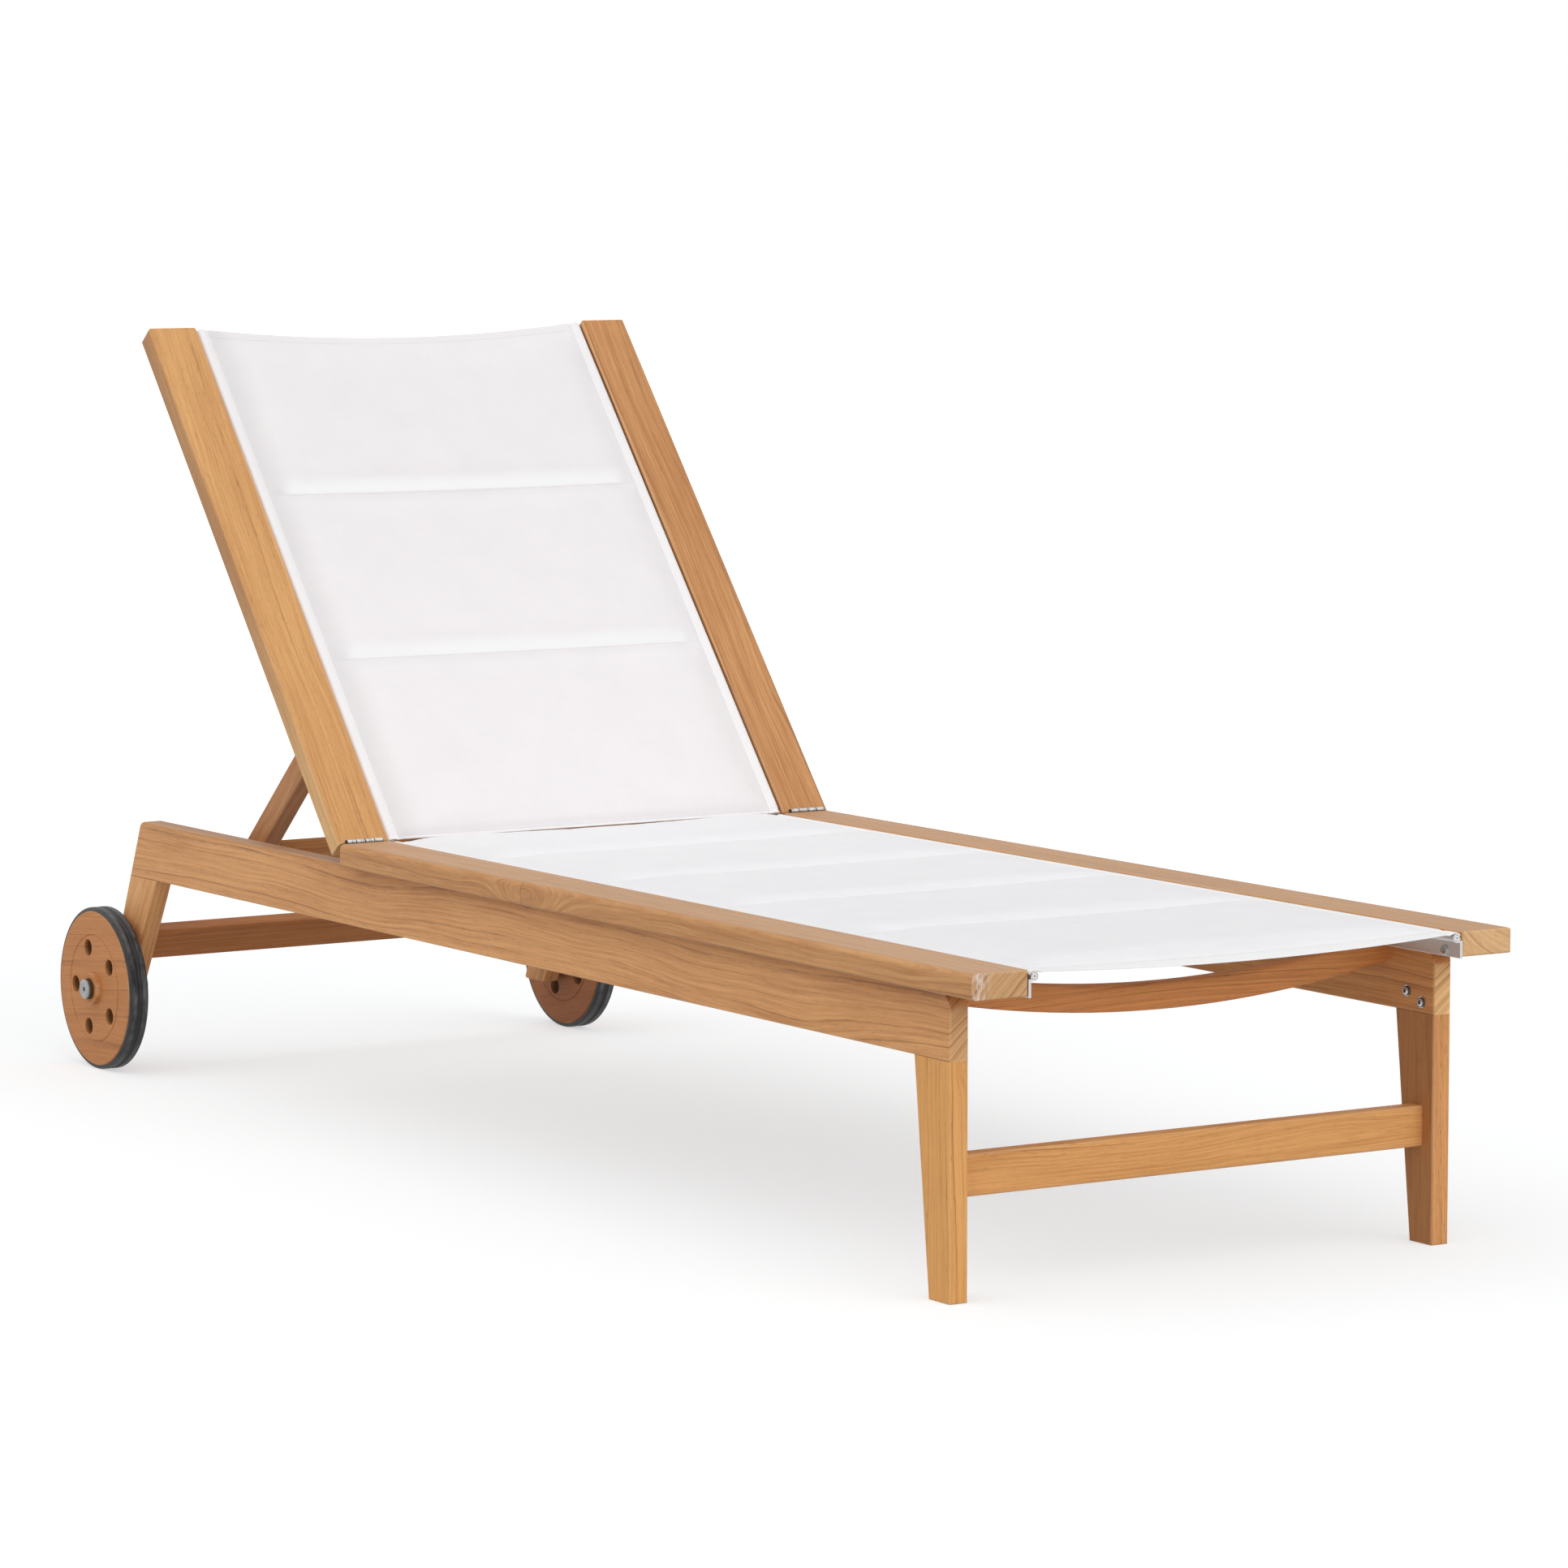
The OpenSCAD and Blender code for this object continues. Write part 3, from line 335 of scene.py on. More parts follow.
backTurn = 50.5
backSine, backCosine = sin(radians(backTurn)), cos(radians(backTurn))
legTurn = radians(26.2)
sideways = {"grain": (1, 0, 0), "up": (0, 0, 1)}
lengthways = {"grain": (0, 1, 0), "up": (0, 0, 1)}
upright = {"grain": (0, 0, 1), "up": (0, 1, 0)}
leaning = {"grain": (0, -sin(legTurn), cos(legTurn)), "up": (1, 0, 0)}
reclined = {"grain": (0, backCosine, backSine), "up": (0, -backSine, backCosine)}
reclinedAcross = {"grain": (1, 0, 0), "up": reclined["up"]}
strutWay = {"grain": (0, 0.744, -0.668), "up": (1, 0, 0)}
discLeftWay = {"grain": (0, 0.993, -0.121), "up": (0, 0.121, 0.993)}
discRightWay = {"grain": (0, 0.985, -0.174), "up": (0, 0.174, 0.985)}


def plank(way, heart, tone, pitch, **extras):
    # heart: where the log's middle lies from the board's; tone: lighter above 0; pitch: between rings
    return dict(way=way, heart=heart, tone=tone, pitch=pitch, **extras)


# calm: below 1 the streaks are fainter and the clouds stronger; swirls: x, y, z, length, width, lift
# side: which side face gets painted light and shade, as a tint at one end and from the middle on
boards = {
    "seat_rail_left": plank(
        lengthways, (-0.100, -0.066), 0.02, 0.0062, tint=(0.91, 0.90, 0.91),
        weathered=(0.90, 0.99, 1.14), joinLow=0.22, joint=(0.225, 0.012, 0.017), chips=True,
        swirls=[(0.214, 0.03, -0.004, 0.055, 0.020, 0.022)]),
    "seat_rail_right": plank(
        lengthways, (-0.065, 0.100), -0.05, 0.0060, weathered=(0.75, 0.77, 0.81), joinLow=0.22,
        sawn=(1.15, 1.42, 1.78), endLines=0.35),
    "beam_left": plank(
        lengthways, (-0.085, -0.092), 0.02, 0.0090, tint=(1.08, 1.06, 1.07),
        weathered=(0.78, 0.78, 0.86), joinHigh=0.22, sawn=(0.95, 1.06, 1.20),
        swirls=[(0.33, 0.0, 0.03, 0.16, 0.05, 0.010), (-0.62, 0.0, -0.05, 0.22, 0.05, 0.012)]),
    "beam_right": plank(
        lengthways, (-0.080, -0.110), -0.05, 0.0085, tint=(1.10, 1.00, 0.88), joinHigh=0.22,
        sawn=(1.25, 1.65, 2.15)),
    "front_leg_left": plank(
        upright, (-0.085, 0.040), 0.3, 0.0068, tint=(1.10, 1.05, 0.82),
        swirls=[(0.096, 0.001, -0.0275, 0.021, 0.0065, 0.0085)]),
    "front_leg_right": plank(
        upright, (0.110, -0.060), 0.26, 0.0070, tint=(1.04, 0.93, 0.80),
        side=(-1.0, (0.66, 0.60, 0.56), (0.66, 0.60, 0.56)), flecks=2.2),
    "rear_leg_left": plank(leaning, (0.030, 0.120), 0.05, 0.0070, tint=(1.12, 1.12, 1.13)),
    "rear_leg_right": plank(leaning, (-0.030, 0.110), -0.08, 0.0070),
    "front_stretcher": plank(
        sideways, (-0.090, -0.075), 0.24, 0.0088, tint=(1.06, 0.99, 0.82),
        swirls=[(-0.10, -0.01, 0.03, 0.12, 0.03, 0.008), (0.17, -0.01, 0.02, 0.10, 0.03, -0.006)]),
    # the rear stretcher's dark tint is painted shade for a board that lies under the seat
    "rear_stretcher": plank(sideways, (-0.070, 0.085), -0.25, 0.0075, tint=(0.83, 0.66, 0.52)),
    "front_bow_rail": plank(sideways, (-0.040, -0.100), 0.0, 0.0066, tint=(1.07, 0.83, 0.64)),
    "rear_bow_rail": plank(sideways, (-0.050, -0.100), -0.28, 0.0066),
    "low_bow_rail": plank(reclinedAcross, (-0.040, -0.090), -0.25, 0.0066),
    "top_bow_rail": plank(reclinedAcross, (-0.050, -0.090), -0.25, 0.0066),
    "rack_left": plank(lengthways, (0.050, -0.060), -0.16, 0.0060),
    "rack_right": plank(lengthways, (-0.050, -0.060), -0.16, 0.0060),
    "back_board_left": plank(
        reclined, (0.085, -0.075), -0.02, 0.0068, tint=(1.00, 1.03, 0.97),
        side=(1.0, (1.20, 1.42, 1.75), (0.80, 0.80, 0.93)), calm=0.75, flecks=1.6,
        swirls=[(-0.12, -0.02, 0.0, 0.10, 0.022, 0.007)]),
    "back_board_right": plank(reclined, (-0.070, -0.085), -0.22, 0.0068, tint=(0.93, 0.92, 0.92)),
    "prop_strut_left": plank(
        strutWay, (0.060, 0.050), -0.06, 0.0060, tint=(0.82, 0.77, 0.79),
        side=(-1.0, (0.85, 0.80, 0.74), (0.85, 0.80, 0.74))),
    "prop_strut_right": plank(strutWay, (-0.060, 0.050), -0.06, 0.0060, tint=(0.86, 0.81, 0.82)),
    "prop_rail": plank(sideways, (-0.050, -0.070), -0.14, 0.0065, tint=(0.88, 0.78, 0.66)),
    "prop_dowel": plank(sideways, (-0.030, -0.040), -0.10, 0.0050),
    "rail_dowels": plank(upright, (-0.030, -0.040), -0.05, 0.0050),
    "wheel_disc_left": plank(
        discLeftWay, (0.055, -0.175), -0.20, 0.0110, tint=(0.92, 0.79, 0.68), calm=0.5, holes=True,
        swirls=[(0.0, 0.0, -0.055, 0.10, 0.03, -0.008)]),
    "wheel_disc_right": plank(
        discRightWay, (-0.060, -0.160), -0.22, 0.0105, tint=(0.87, 0.74, 0.63),
        side=(1.0, (0.66, 0.55, 0.46), (0.66, 0.55, 0.46)), calm=0.5, holes=True),
    "hub_bush_left": plank(
        lengthways, (0.055, -0.120), -0.20, 0.0110, tint=(0.96, 0.82, 0.70), calm=0.6),
    "hub_bush_right": plank(lengthways, (-0.055, -0.120), -0.16, 0.0110, tint=(0.90, 0.77, 0.66)),
}

holeValues = {"count": 5, "ring": 0.050, "radius": 0.010, "first": 18, "wallShade": (0.110, 0.062, 0.022, 1)}


def boardAxes(way):
    grain = Vector(way["grain"]).normalized()
    up = Vector(way["up"])
    up = (up - grain * up.dot(grain)).normalized()
    return Matrix((grain, up.cross(grain), up)).transposed()


def boardSpace(m, name, axes):
    # places along the grain, across it and in depth, from the board's middle, and half its size
    inside = [axes.transposed() @ vertex.co for vertex in nodes[name].data.vertices]
    low = Vector(min(p[i] for p in inside) for i in range(3))
    high = Vector(max(p[i] for p in inside) for i in range(3))
    middle = axes @ ((low + high) / 2)
    return m.split(m.turnedPlace(middle, axes.to_euler())), (high - low) / 2


def growthRings(m, board, along, across, depth, seed):
    # distance from the log's heart, bent by slow waves; a butt joint begins another piece of the log
    look = teakLook
    heartY, heartZ = board["heart"]
    y = across - heartY + along * look["drift"]
    z = depth - heartZ - along * look["drift"]
    run = along
    if "joint" in board:
        at, shiftY, shiftZ = board["joint"]
        past = m.ramp(along, at - 0.0002, at + 0.0002)
        y = y + past * shiftY
        z = z + past * shiftZ
        run = along + past * 0.6
    spot = m.joined(run, across, depth)
    slow = m.noise(spot, look["waveSize"], (seed, 0, 0))
    ripple = m.noise(spot, look["rippleSize"], (0, seed, 0))
    ring = m.one("SQRT", y * y + z * z) + (slow - 0.5) * look["wave"] + (ripple - 0.5) * look["ripple"]
    for x0, y0, z0, length, width, lift in board.get("swirls", []):
        dx = (along - x0) / length
        dy = (across - y0) / width
        dz = (depth - z0) / width
        ring = ring + m.one("EXPONENT", -(dx * dx + dy * dy + dz * dz)) * lift
    return ring, run, spot


def boreShade(m, body, axes, half, along, across, depth):
    # painted shade: the holes' walls are darkened, and less so near the disc's face
    v = holeValues
    away = None
    for i in range(v["count"]):
        turned = radians(360 / v["count"] * i + v["first"])
        centre = axes.transposed() @ (Vector((0, sin(turned), -cos(turned))) * v["ring"])
        dx = along - centre.x
        dz = depth - centre.z
        far = dx * dx + dz * dz
        away = far if away is None else m.least(away, far)
    bore = m.ramp(m.one("SQRT", away), v["radius"] + 0.0001, v["radius"] + 0.0004, 1.0, 0.0)
    deep = m.ramp(m.size(across), half.y - 0.0060, half.y - 0.0005, teakLook["holeShadeShare"], 0.0)
    return m.blended(bore * deep, body, v["wallShade"])


def teak(name, board):
    look = teakLook
    axes = boardAxes(board["way"])
    m = finish("teak_" + name, Roughness=look["roughness"], Specular_IOR_Level=look["gloss"])
    (along, across, depth), half = boardSpace(m, name, axes)
    seed = 7.3 * (sum(map(ord, name)) % 41)
    calm = board.get("calm", 1.0)
    ring, run, spot = growthRings(m, board, along, across, depth, seed)
    turn = ring / board["pitch"]
    uneven = m.noise(m.joined(turn * 0.8, seed), detail=1.0)
    turn = turn + uneven * look["uneven"]
    phase = m.one("FRACT", turn)
    count = m.node(
        "ShaderNodeTexWhiteNoise", {"noise_dimensions": "1D"}, {"W": m.one("FLOOR", turn) + seed})
    # lines come and go along the board, and some rings have none
    fade = m.noise(m.joined(run * 9.0, turn * 0.7, seed), detail=3.0, roughness=0.6)
    strength = m.ramp(count, *look["ringStrength"]) * m.ramp(fade, *look["ringFade"])
    line = m.ramp(phase, *look["lineStart"]) * m.ramp(phase, *look["lineStop"]) * strength
    lateWood = m.ramp(phase, *look["lateStart"]) * m.ramp(phase, *look["lateStop"]) * strength
    # streaks and fibres lie along the grain and follow the rings; pores are short dashes
    layer = m.joined(run, ring, (across + depth) * 0.2)
    streak = m.noise(layer, look["streakSize"], (seed, 0, 0), 4.0, 0.62)
    fibre = m.noise(layer, look["fibreSize"], (0, seed, 0), 3.0, 0.6)
    pores = m.ramp(m.noise(spot, look["poreSize"], (0, seed, 0), 1.0), *look["poreEdge"])
    cloud = m.noise(spot, look["cloudSize"], (0, seed, seed), 3.0, 0.55)
    # how far a point is from each pair of faces
    edgeX = half.x - m.size(along)
    edgeY = half.y - m.size(across)
    edgeZ = half.z - m.size(depth)
    sawn = m.ramp(edgeX, 0.0002, 0.0012, 1.0, 0.0)
    amount = sawn * (lateWood * 0.7 - 0.05) + 0.42 - board["tone"] + lateWood * 0.30
    amount = amount + (streak - 0.5) * (2.1 * calm) + (fibre - 0.5) * (1.3 * calm)
    amount = amount + (cloud - 0.5) * (1.8 - 0.9 * calm)
    body = m.blended(amount, look["pale"], look["deep"])
    poreShare = look["poreShare"] * board.get("flecks", 1.0)
    body = m.blended(pores * poreShare * (0.4 + lateWood), body, look["line"])
    sawnLines = 1.0 - sawn * (1 - board.get("endLines", 1.0))
    body = m.blended(line * (0.15 + streak * 0.95) * sawnLines, body, look["line"])
    body = m.tinted(sawn, body, board.get("sawn", look["sawn"]))  # sawn ends are greyer
    if "tint" in board:
        body = m.tinted(1.0, body, board["tint"])
    if board.get("holes"):
        body = boreShade(m, body, axes, half, along, across, depth)
    # painted light and shade on one side face: the tint darkens below 1 and lightens above 1
    if "side" in board:
        way, shade, farShade = board["side"]
        facing = m.ramp(across * way, half.y - 0.0022, half.y - 0.0006)
        sideShade = m.blended(m.ramp(along, -half.x, half.x * 0.1), shade + (1,), farShade + (1,))
        body = m.blended(facing, body, sideShade, "MULTIPLY")
    # painted shade darkens where a rail and a beam meet
    if "joinLow" in board:
        join = m.ramp(depth, -half.z, 0.0030 - half.z, board["joinLow"], 0.0)
        body = m.blended(join, body, look["line"])
    if "joinHigh" in board:
        join = m.ramp(depth, half.z - 0.0075, half.z, 0.0, board["joinHigh"])
        body = m.blended(join, body, look["line"])
    if "weathered" in board:  # painted sheen and shade on an upward face: a tint and a paler, greyer blend stand for how the top catches light
        upwardFace = m.ramp(depth, half.z - 0.0012, half.z - 0.0002)
        body = m.tinted(upwardFace, body, board["weathered"])
        body = m.blended(upwardFace * look["topSheenShare"], body, look["topSheen"])
    # arrises are painted paler: partly rubbed wear, partly painted highlight along the edges
    arris = m.ramp(m.most(edgeY, edgeZ), 0.0004, look["arris"], 1.0, 0.0)
    tip = m.ramp(m.most(edgeX, m.least(edgeY, edgeZ)), 0.0004, look["arris"], 1.0, 0.0)
    rubbedSheen = m.most(arris, tip) * m.ramp(cloud, *look["rubbedSheenShare"])
    body = m.blended(rubbedSheen, body, look["wornAndSheen"])
    if "joint" in board:
        seam = m.ramp(m.size(along - board["joint"][0]), 0.0003, 0.0011, 0.55, 0.0)
        body = m.blended(seam, body, look["line"])
    if board.get("chips"):  # the front end's outer corner is knocked
        end = m.ramp(along, -half.x + 0.0005, -half.x + 0.0045, 1.0, 0.0)
        corner = end * m.ramp(across, half.y - 0.024, half.y - 0.004)
        patches = m.noise(spot, look["chipSize"], detail=5.0, roughness=0.68)
        chips = corner * m.ramp(patches, 0.36, 0.64)
        body = m.blended(chips * 0.85, body, look["chipped"])
    roughness = look["roughness"] - 0.06 + fibre * 0.16 - line * 0.05
    return m.surface(body, roughness, m.bump(fibre * 0.8 - pores * 0.8 - line * 0.5, *look["bump"]))


for name, board in boards.items():
    dress(nodes[name], teak(name, board))
print("wood done")

# metal, rubber and cord

metalLook = {
    "steel": {"colour": (0.50, 0.50, 0.495, 1), "roughness": 0.24, "streak": (500.0, 500.0, 500.0)},
    # colours of painted shade and painted highlight
    "shaded": {"shade": (0.11, 0.108, 0.105, 1), "paintedHighlight": (0.80, 0.80, 0.79, 1), "roughness": 0.22},
    "turned": {"colour": (0.47, 0.48, 0.49, 1), "roughness": 0.20, "rim": 0.0125,
               "wallShade": (0.10, 0.085, 0.075, 1)},
    "aluminium": {"colour": (0.74, 0.735, 0.73, 1), "roughness": 0.38, "streak": (900.0, 12.0, 900.0)},
}
metalBump = 0.00008

steelParts = [name for name in nodes if name.endswith(("_screws", "_washers", "_nuts"))]
steelParts += ["axle_left", "axle_right", "pivot_bracket_left", "pivot_bracket_right", "pivot_bolts"]
hingeParts = [name for name in nodes if "hinge_leaf" in name] + ["hinge_pins"]
trackParts = [name for name in nodes if name.endswith(("track_left", "track_right"))]

# painted shade under the hinge's middle and painted highlight above it, with painted shade at the
# knuckles' gaps
knuckleValues = {"count": 4, "below": 0.0036, "above": 0.0030, "patches": 1.6, "joint": 0.9}
socketShadeDepth = (0.0014, 0.0002)  # painted shade in a bolt's socket under its face: dark from the first depth, painted highlight up to the second

hinge = next(j for j in frame["joints"] if j["name"] == "backrest_hinge")
hingePlace = Vector(hinge["pos_m"])
low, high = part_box("tyre_left")
axleCentre = (low + high) / 2


def metal(name, look):
    m = finish(name, Metallic=1.0, Roughness=look["roughness"])
    place = m.objectPlace()
    lines = m.noise(place, look["streak"], detail=3.0, roughness=0.6)
    haze = m.noise(place, (22.0, 22.0, 22.0), detail=3.0, roughness=0.6)
    dull = tuple(0.80 * part for part in look["colour"][:3]) + (1,)
    colour = m.blended(haze * 0.55 + lines * 0.25, look["colour"], dull)
    roughness = look["roughness"] - 0.09 + lines * 0.12 + haze * 0.10
    return m.surface(colour, roughness, m.bump(lines, 0.25, metalBump))


def aroundAxle(m, centre):
    # how far a point is along the axle from its middle, and how far from its line
    offset = m.node("ShaderNodeVectorMath", {"operation": "SUBTRACT"}, {0: m.objectPlace(), 1: centre})
    x, y, z = m.split(offset)
    return x, m.one("SQRT", y * y + z * z)


def turnedMetal(name, look, centre):
    # fine rings around an axle, as a turned face has
    m = finish(name, Metallic=1.0, Roughness=look["roughness"])
    radius = aroundAxle(m, centre)[1]
    rings = m.noise(m.joined(radius * 2600.0))
    haze = m.noise(m.objectPlace(), (60.0, 60.0, 60.0), detail=3.0, roughness=0.6)
    dull = tuple(0.45 * part for part in look["colour"][:3]) + (1,)
    recessShade = m.ramp(radius, 0.0030, 0.0062, 0.55, 0.0)  # painted shade: the dished face is darker towards its hole
    colour = m.blended(m.most(recessShade, haze * 0.5 + rings * 0.2), look["colour"], dull)
    # painted shade on the cap's side wall near its rim
    wallShade = m.ramp(radius, look["rim"] - 0.0012, look["rim"] - 0.0002, 0.0, 0.85)
    roughness = look["roughness"] - 0.05 + rings * 0.12 + haze * 0.08
    return m.surface(m.blended(wallShade, colour, look["wallShade"]), roughness, m.bump(rings, 0.3, metalBump))


def shadedMetal(name, axis, low, high, knuckles=None):
    # painted shade and highlight: metal darkens from high to low along one axis, for the shade in a
    # socket and under a knuckle
    look = metalLook["shaded"]
    m = finish(name, Metallic=1.0, Roughness=look["roughness"])
    place = m.objectPlace()
    parts = m.split(place)
    lines = m.noise(place, (700.0, 90.0, 90.0), detail=3.0, roughness=0.6)
    deep = m.ramp(m.size(parts[axis]), low, high)
    if knuckles:
        v = knuckleValues
        start, pitch = knuckles
        patch = m.noise(place, (260.0, 130.0, 130.0))
        turn = m.one("FRACT", (m.size(parts[0]) - start) / pitch)
        # painted shade in the gaps between knuckles; random patches vary the painted highlight
        joint = m.ramp(m.size(turn - 0.5), 0.40, 0.49)
        deep = (deep + (patch - 0.5) * v["patches"]) * (1.0 - joint * v["joint"])
    colour = m.blended(deep - lines * 0.2, look["shade"], look["paintedHighlight"])
    return m.surface(colour, look["roughness"] + lines * 0.12, m.bump(lines, 0.25, metalBump))


def hingeMetal():
    leafLow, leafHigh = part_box("seat_hinge_leaf_right")
    middle = hingePlace.z
    return shadedMetal(
        "hingeSteel", 2, middle - knuckleValues["below"], middle + knuckleValues["above"],
        (leafLow.x, (leafHigh.x - leafLow.x) / knuckleValues["count"]))


def boltMetal():
    face = min(abs(vertex.co.x) for vertex in nodes["leg_bolts"].data.vertices)
    return shadedMetal("boltSteel", 0, *(face + depth for depth in socketShadeDepth))


for material, names in (
        (metal("brushedSteel", metalLook["steel"]), steelParts),
        (hingeMetal(), hingeParts),
        (boltMetal(), ("leg_bolts",)),
        (metal("drawnAluminium", metalLook["aluminium"]), trackParts)):
    for name in names:
        dress(nodes[name], material)

rubberLook = {
    "colour": (0.020, 0.020, 0.022, 1),
    "dustySheen": (0.160, 0.164, 0.174, 1),
    "roughness": 0.50,
    "ridge": 0.0065,  # each tread ridge lies this far beside the tyre's middle
    "tread": (0.0940, 0.0970),  # radius where the tread begins
    "seeds": {"tyre_left": 1.0, "tyre_right": 5.0},
}


def rubber(name, centre, seed):
    look = rubberLook
    m = finish(name, Roughness=look["roughness"], Specular_IOR_Level=0.45)
    place = m.objectPlace()
    across, radius = aroundAxle(m, centre)
    dust = m.noise(place, (60.0, 34.0, 34.0), (seed, 0, 0), 4.0, 0.65)
    scrape = m.noise(place, (1400.0, 60.0, 60.0), (0, seed, 0), 3.0, 0.6)
    grain = m.noise(place, (1500.0, 1500.0, 1500.0))
    # the ridges are painted grey, partly rubbed dust and partly painted highlight; the groove between
    # them and the flanks stay black
    ridge = m.ramp(m.size(m.size(across) - look["ridge"]), 0.0005, 0.0042, 1.0, 0.0)
    tread = m.ramp(radius, *look["tread"])
    wornAndSheen = m.ramp(dust * 0.6 + scrape * 0.4, 0.40, 0.64) * (0.18 + ridge * tread * 0.82)
    colour = m.blended(wornAndSheen, look["colour"], look["dustySheen"])
    roughness = look["roughness"] - 0.10 + wornAndSheen * 0.30 + grain * 0.06
    return m.surface(colour, roughness, m.bump(grain + dust * 0.6 + scrape * 0.4, 0.35, 0.00025))


for name, seed in rubberLook["seeds"].items():
    low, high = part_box(name)
    dress(nodes[name], rubber("rubber_" + name, (low + high) / 2, seed))

cordLook = {
    "kederCord": {
        "dull": (0.80, 0.80, 0.79, 1), "bright": (0.90, 0.90, 0.90, 1),
        "twist": 300.0, "roughness": 0.52},
    "polyesterThread": {
        "dull": (0.74, 0.735, 0.72, 1), "bright": (0.86, 0.86, 0.85, 1),
        "twist": 1800.0, "roughness": 0.70},
}


def cordMaterial(name):
    look = cordLook[name]
    m = finish(name, Roughness=look["roughness"])
    twist = m.noise(m.objectPlace(), (look["twist"],) * 3)
    roughness = look["roughness"] - 0.1 + twist * 0.2
    return m.surface(m.blended(twist, look["dull"], look["bright"]), roughness)


keder = cordMaterial("kederCord")
for name in ("seat_keders", "back_keders"):
    dress(nodes[name], keder)
print("metal, rubber and cord done")

# hubs

smoothAngle = radians(32)  # edges sharper than this stay crisp

hubValues = {
    "segments": 72, "bore": 0.0061, "sleeveRadius": 0.0110,
    "flange": 0.0062,  # how far a bush stands out from its disc
    "flangeRadius": 0.0185, "edge": 0.0009, "edgeSteps": 4, "stepRadius": 0.0156, "step": 0.0006,
    "gap": 0.0003, "capRadius": 0.0125, "capRound": 0.0034, "capSteps": 7, "capChamfer": 0.0003,
    "boreDepth": 0.0023, "dishRadius": 0.0074, "dishSlope": 0.0008, "dish": 0.0005,
    "holeRadius": 0.0025, "holeChamfer": 0.0004, "holeDepth": 0.0034,
}


def turnedPiece(name, side, outline, ringShaped):
    # a ring around the axle is extruded and scaled along the outline, as on a lathe
    deselectAll()
    x, radius = outline[0]
    centre = Vector((side * x, axleCentre.y, axleCentre.z))
    bpy.ops.mesh.primitive_circle_add(
        vertices=hubValues["segments"], radius=radius, location=centre, rotation=(0, pi / 2, 0),
        fill_type="NOTHING" if ringShaped else "TRIFAN")
    piece = named(name)
    bpy.ops.object.transform_apply(location=True, rotation=True, scale=True)
    bpy.ops.object.mode_set(mode="EDIT")
    bpy.ops.mesh.select_mode(type="EDGE")
    bpy.ops.mesh.select_all(action="DESELECT")
    bpy.ops.mesh.select_non_manifold(extend=False)
    for (x, radius), (nextX, nextRadius) in zip(outline, outline[1:]):
        bpy.ops.mesh.extrude_edges_move(TRANSFORM_OT_translate={"value": (side * (nextX - x), 0, 0)})
        grown = nextRadius / radius
        centre = (side * nextX, axleCentre.y, axleCentre.z)
        bpy.ops.transform.resize(value=(1, grown, grown), center_override=centre)
    if not ringShaped:
        bpy.ops.mesh.edge_face_add()
    bpy.ops.mesh.select_all(action="SELECT")
    bpy.ops.mesh.remove_doubles(threshold=0.00002)
    bpy.ops.mesh.normals_make_consistent(inside=False)
    bpy.ops.object.mode_set(mode="OBJECT")
    bpy.ops.object.shade_smooth_by_angle(angle=smoothAngle)
    return piece


def quarterRound(x, radius, size, steps):
    # points of a rounded edge that ends at x, from the given radius inwards
    turns = [radians(90 * i / steps) for i in range(steps + 1)]
    return [(x - size * (1 - sin(turn)), radius - size * (1 - cos(turn))) for turn in turns]


def bushOutline(inner, face):
    h = hubValues
    top = face + h["flange"]
    low = top - h["step"]
    return [
        (inner, h["bore"]), (inner, h["sleeveRadius"]), (face, h["sleeveRadius"]),
        (face, h["flangeRadius"]), *quarterRound(low, h["flangeRadius"], h["edge"], h["edgeSteps"]),
        (low, h["stepRadius"]), (top, h["stepRadius"] - h["step"]), (top, h["bore"]),
        (inner, h["bore"])]


def capOutline(start, end):
    h = hubValues
    floor = end - h["dish"]
    return [
        (start + h["boreDepth"], h["bore"]), (start, h["bore"]),
        (start, h["capRadius"] - h["capChamfer"]), (start + h["capChamfer"], h["capRadius"]),
        *quarterRound(end, h["capRadius"], h["capRound"], h["capSteps"]),
        (end, h["dishRadius"]), (floor, h["dishRadius"] - h["dishSlope"]),
        (floor, h["holeRadius"] + h["holeChamfer"]), (floor - h["holeChamfer"], h["holeRadius"]),
        (end - h["holeDepth"], h["holeRadius"])]


caps = []
for name, side in (("Left", -1), ("Right", 1)):
    node = "hub_bush_" + name.lower()
    low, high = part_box("wheel_disc_right")
    bush = turnedPiece("hubBush" + name, side, bushOutline(low.x, high.x), True)
    dress(bush, nodes[node].data.materials[0])
    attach(bush, "wheel_" + name.lower())
    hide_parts(node)
    start = high.x + hubValues["flange"] + hubValues["gap"]
    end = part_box("hub_caps")[1].x
    caps.append(turnedPiece("hubCap" + name, side, capOutline(start, end), False))
choose(caps[0])
caps[1].select_set(True)
bpy.ops.object.join()
hubCaps = bpy.context.object
hubCaps.name = "hubCaps"
dress(hubCaps, turnedMetal("turnedSteel", metalLook["turned"], axleCentre))
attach(hubCaps, "frame")
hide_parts("hub_caps")
print("hubs done")

# prop rail

propRailValues = {
    "top": 0.0343,  # from the dowel's middle, up along the struts
    "aboveDowel": 0.0020,
    "thick": 0.020,
    "into": 0.002,  # how far it goes into each strut
    "edge": 0.0022,
    "edgeSteps": 4,
}


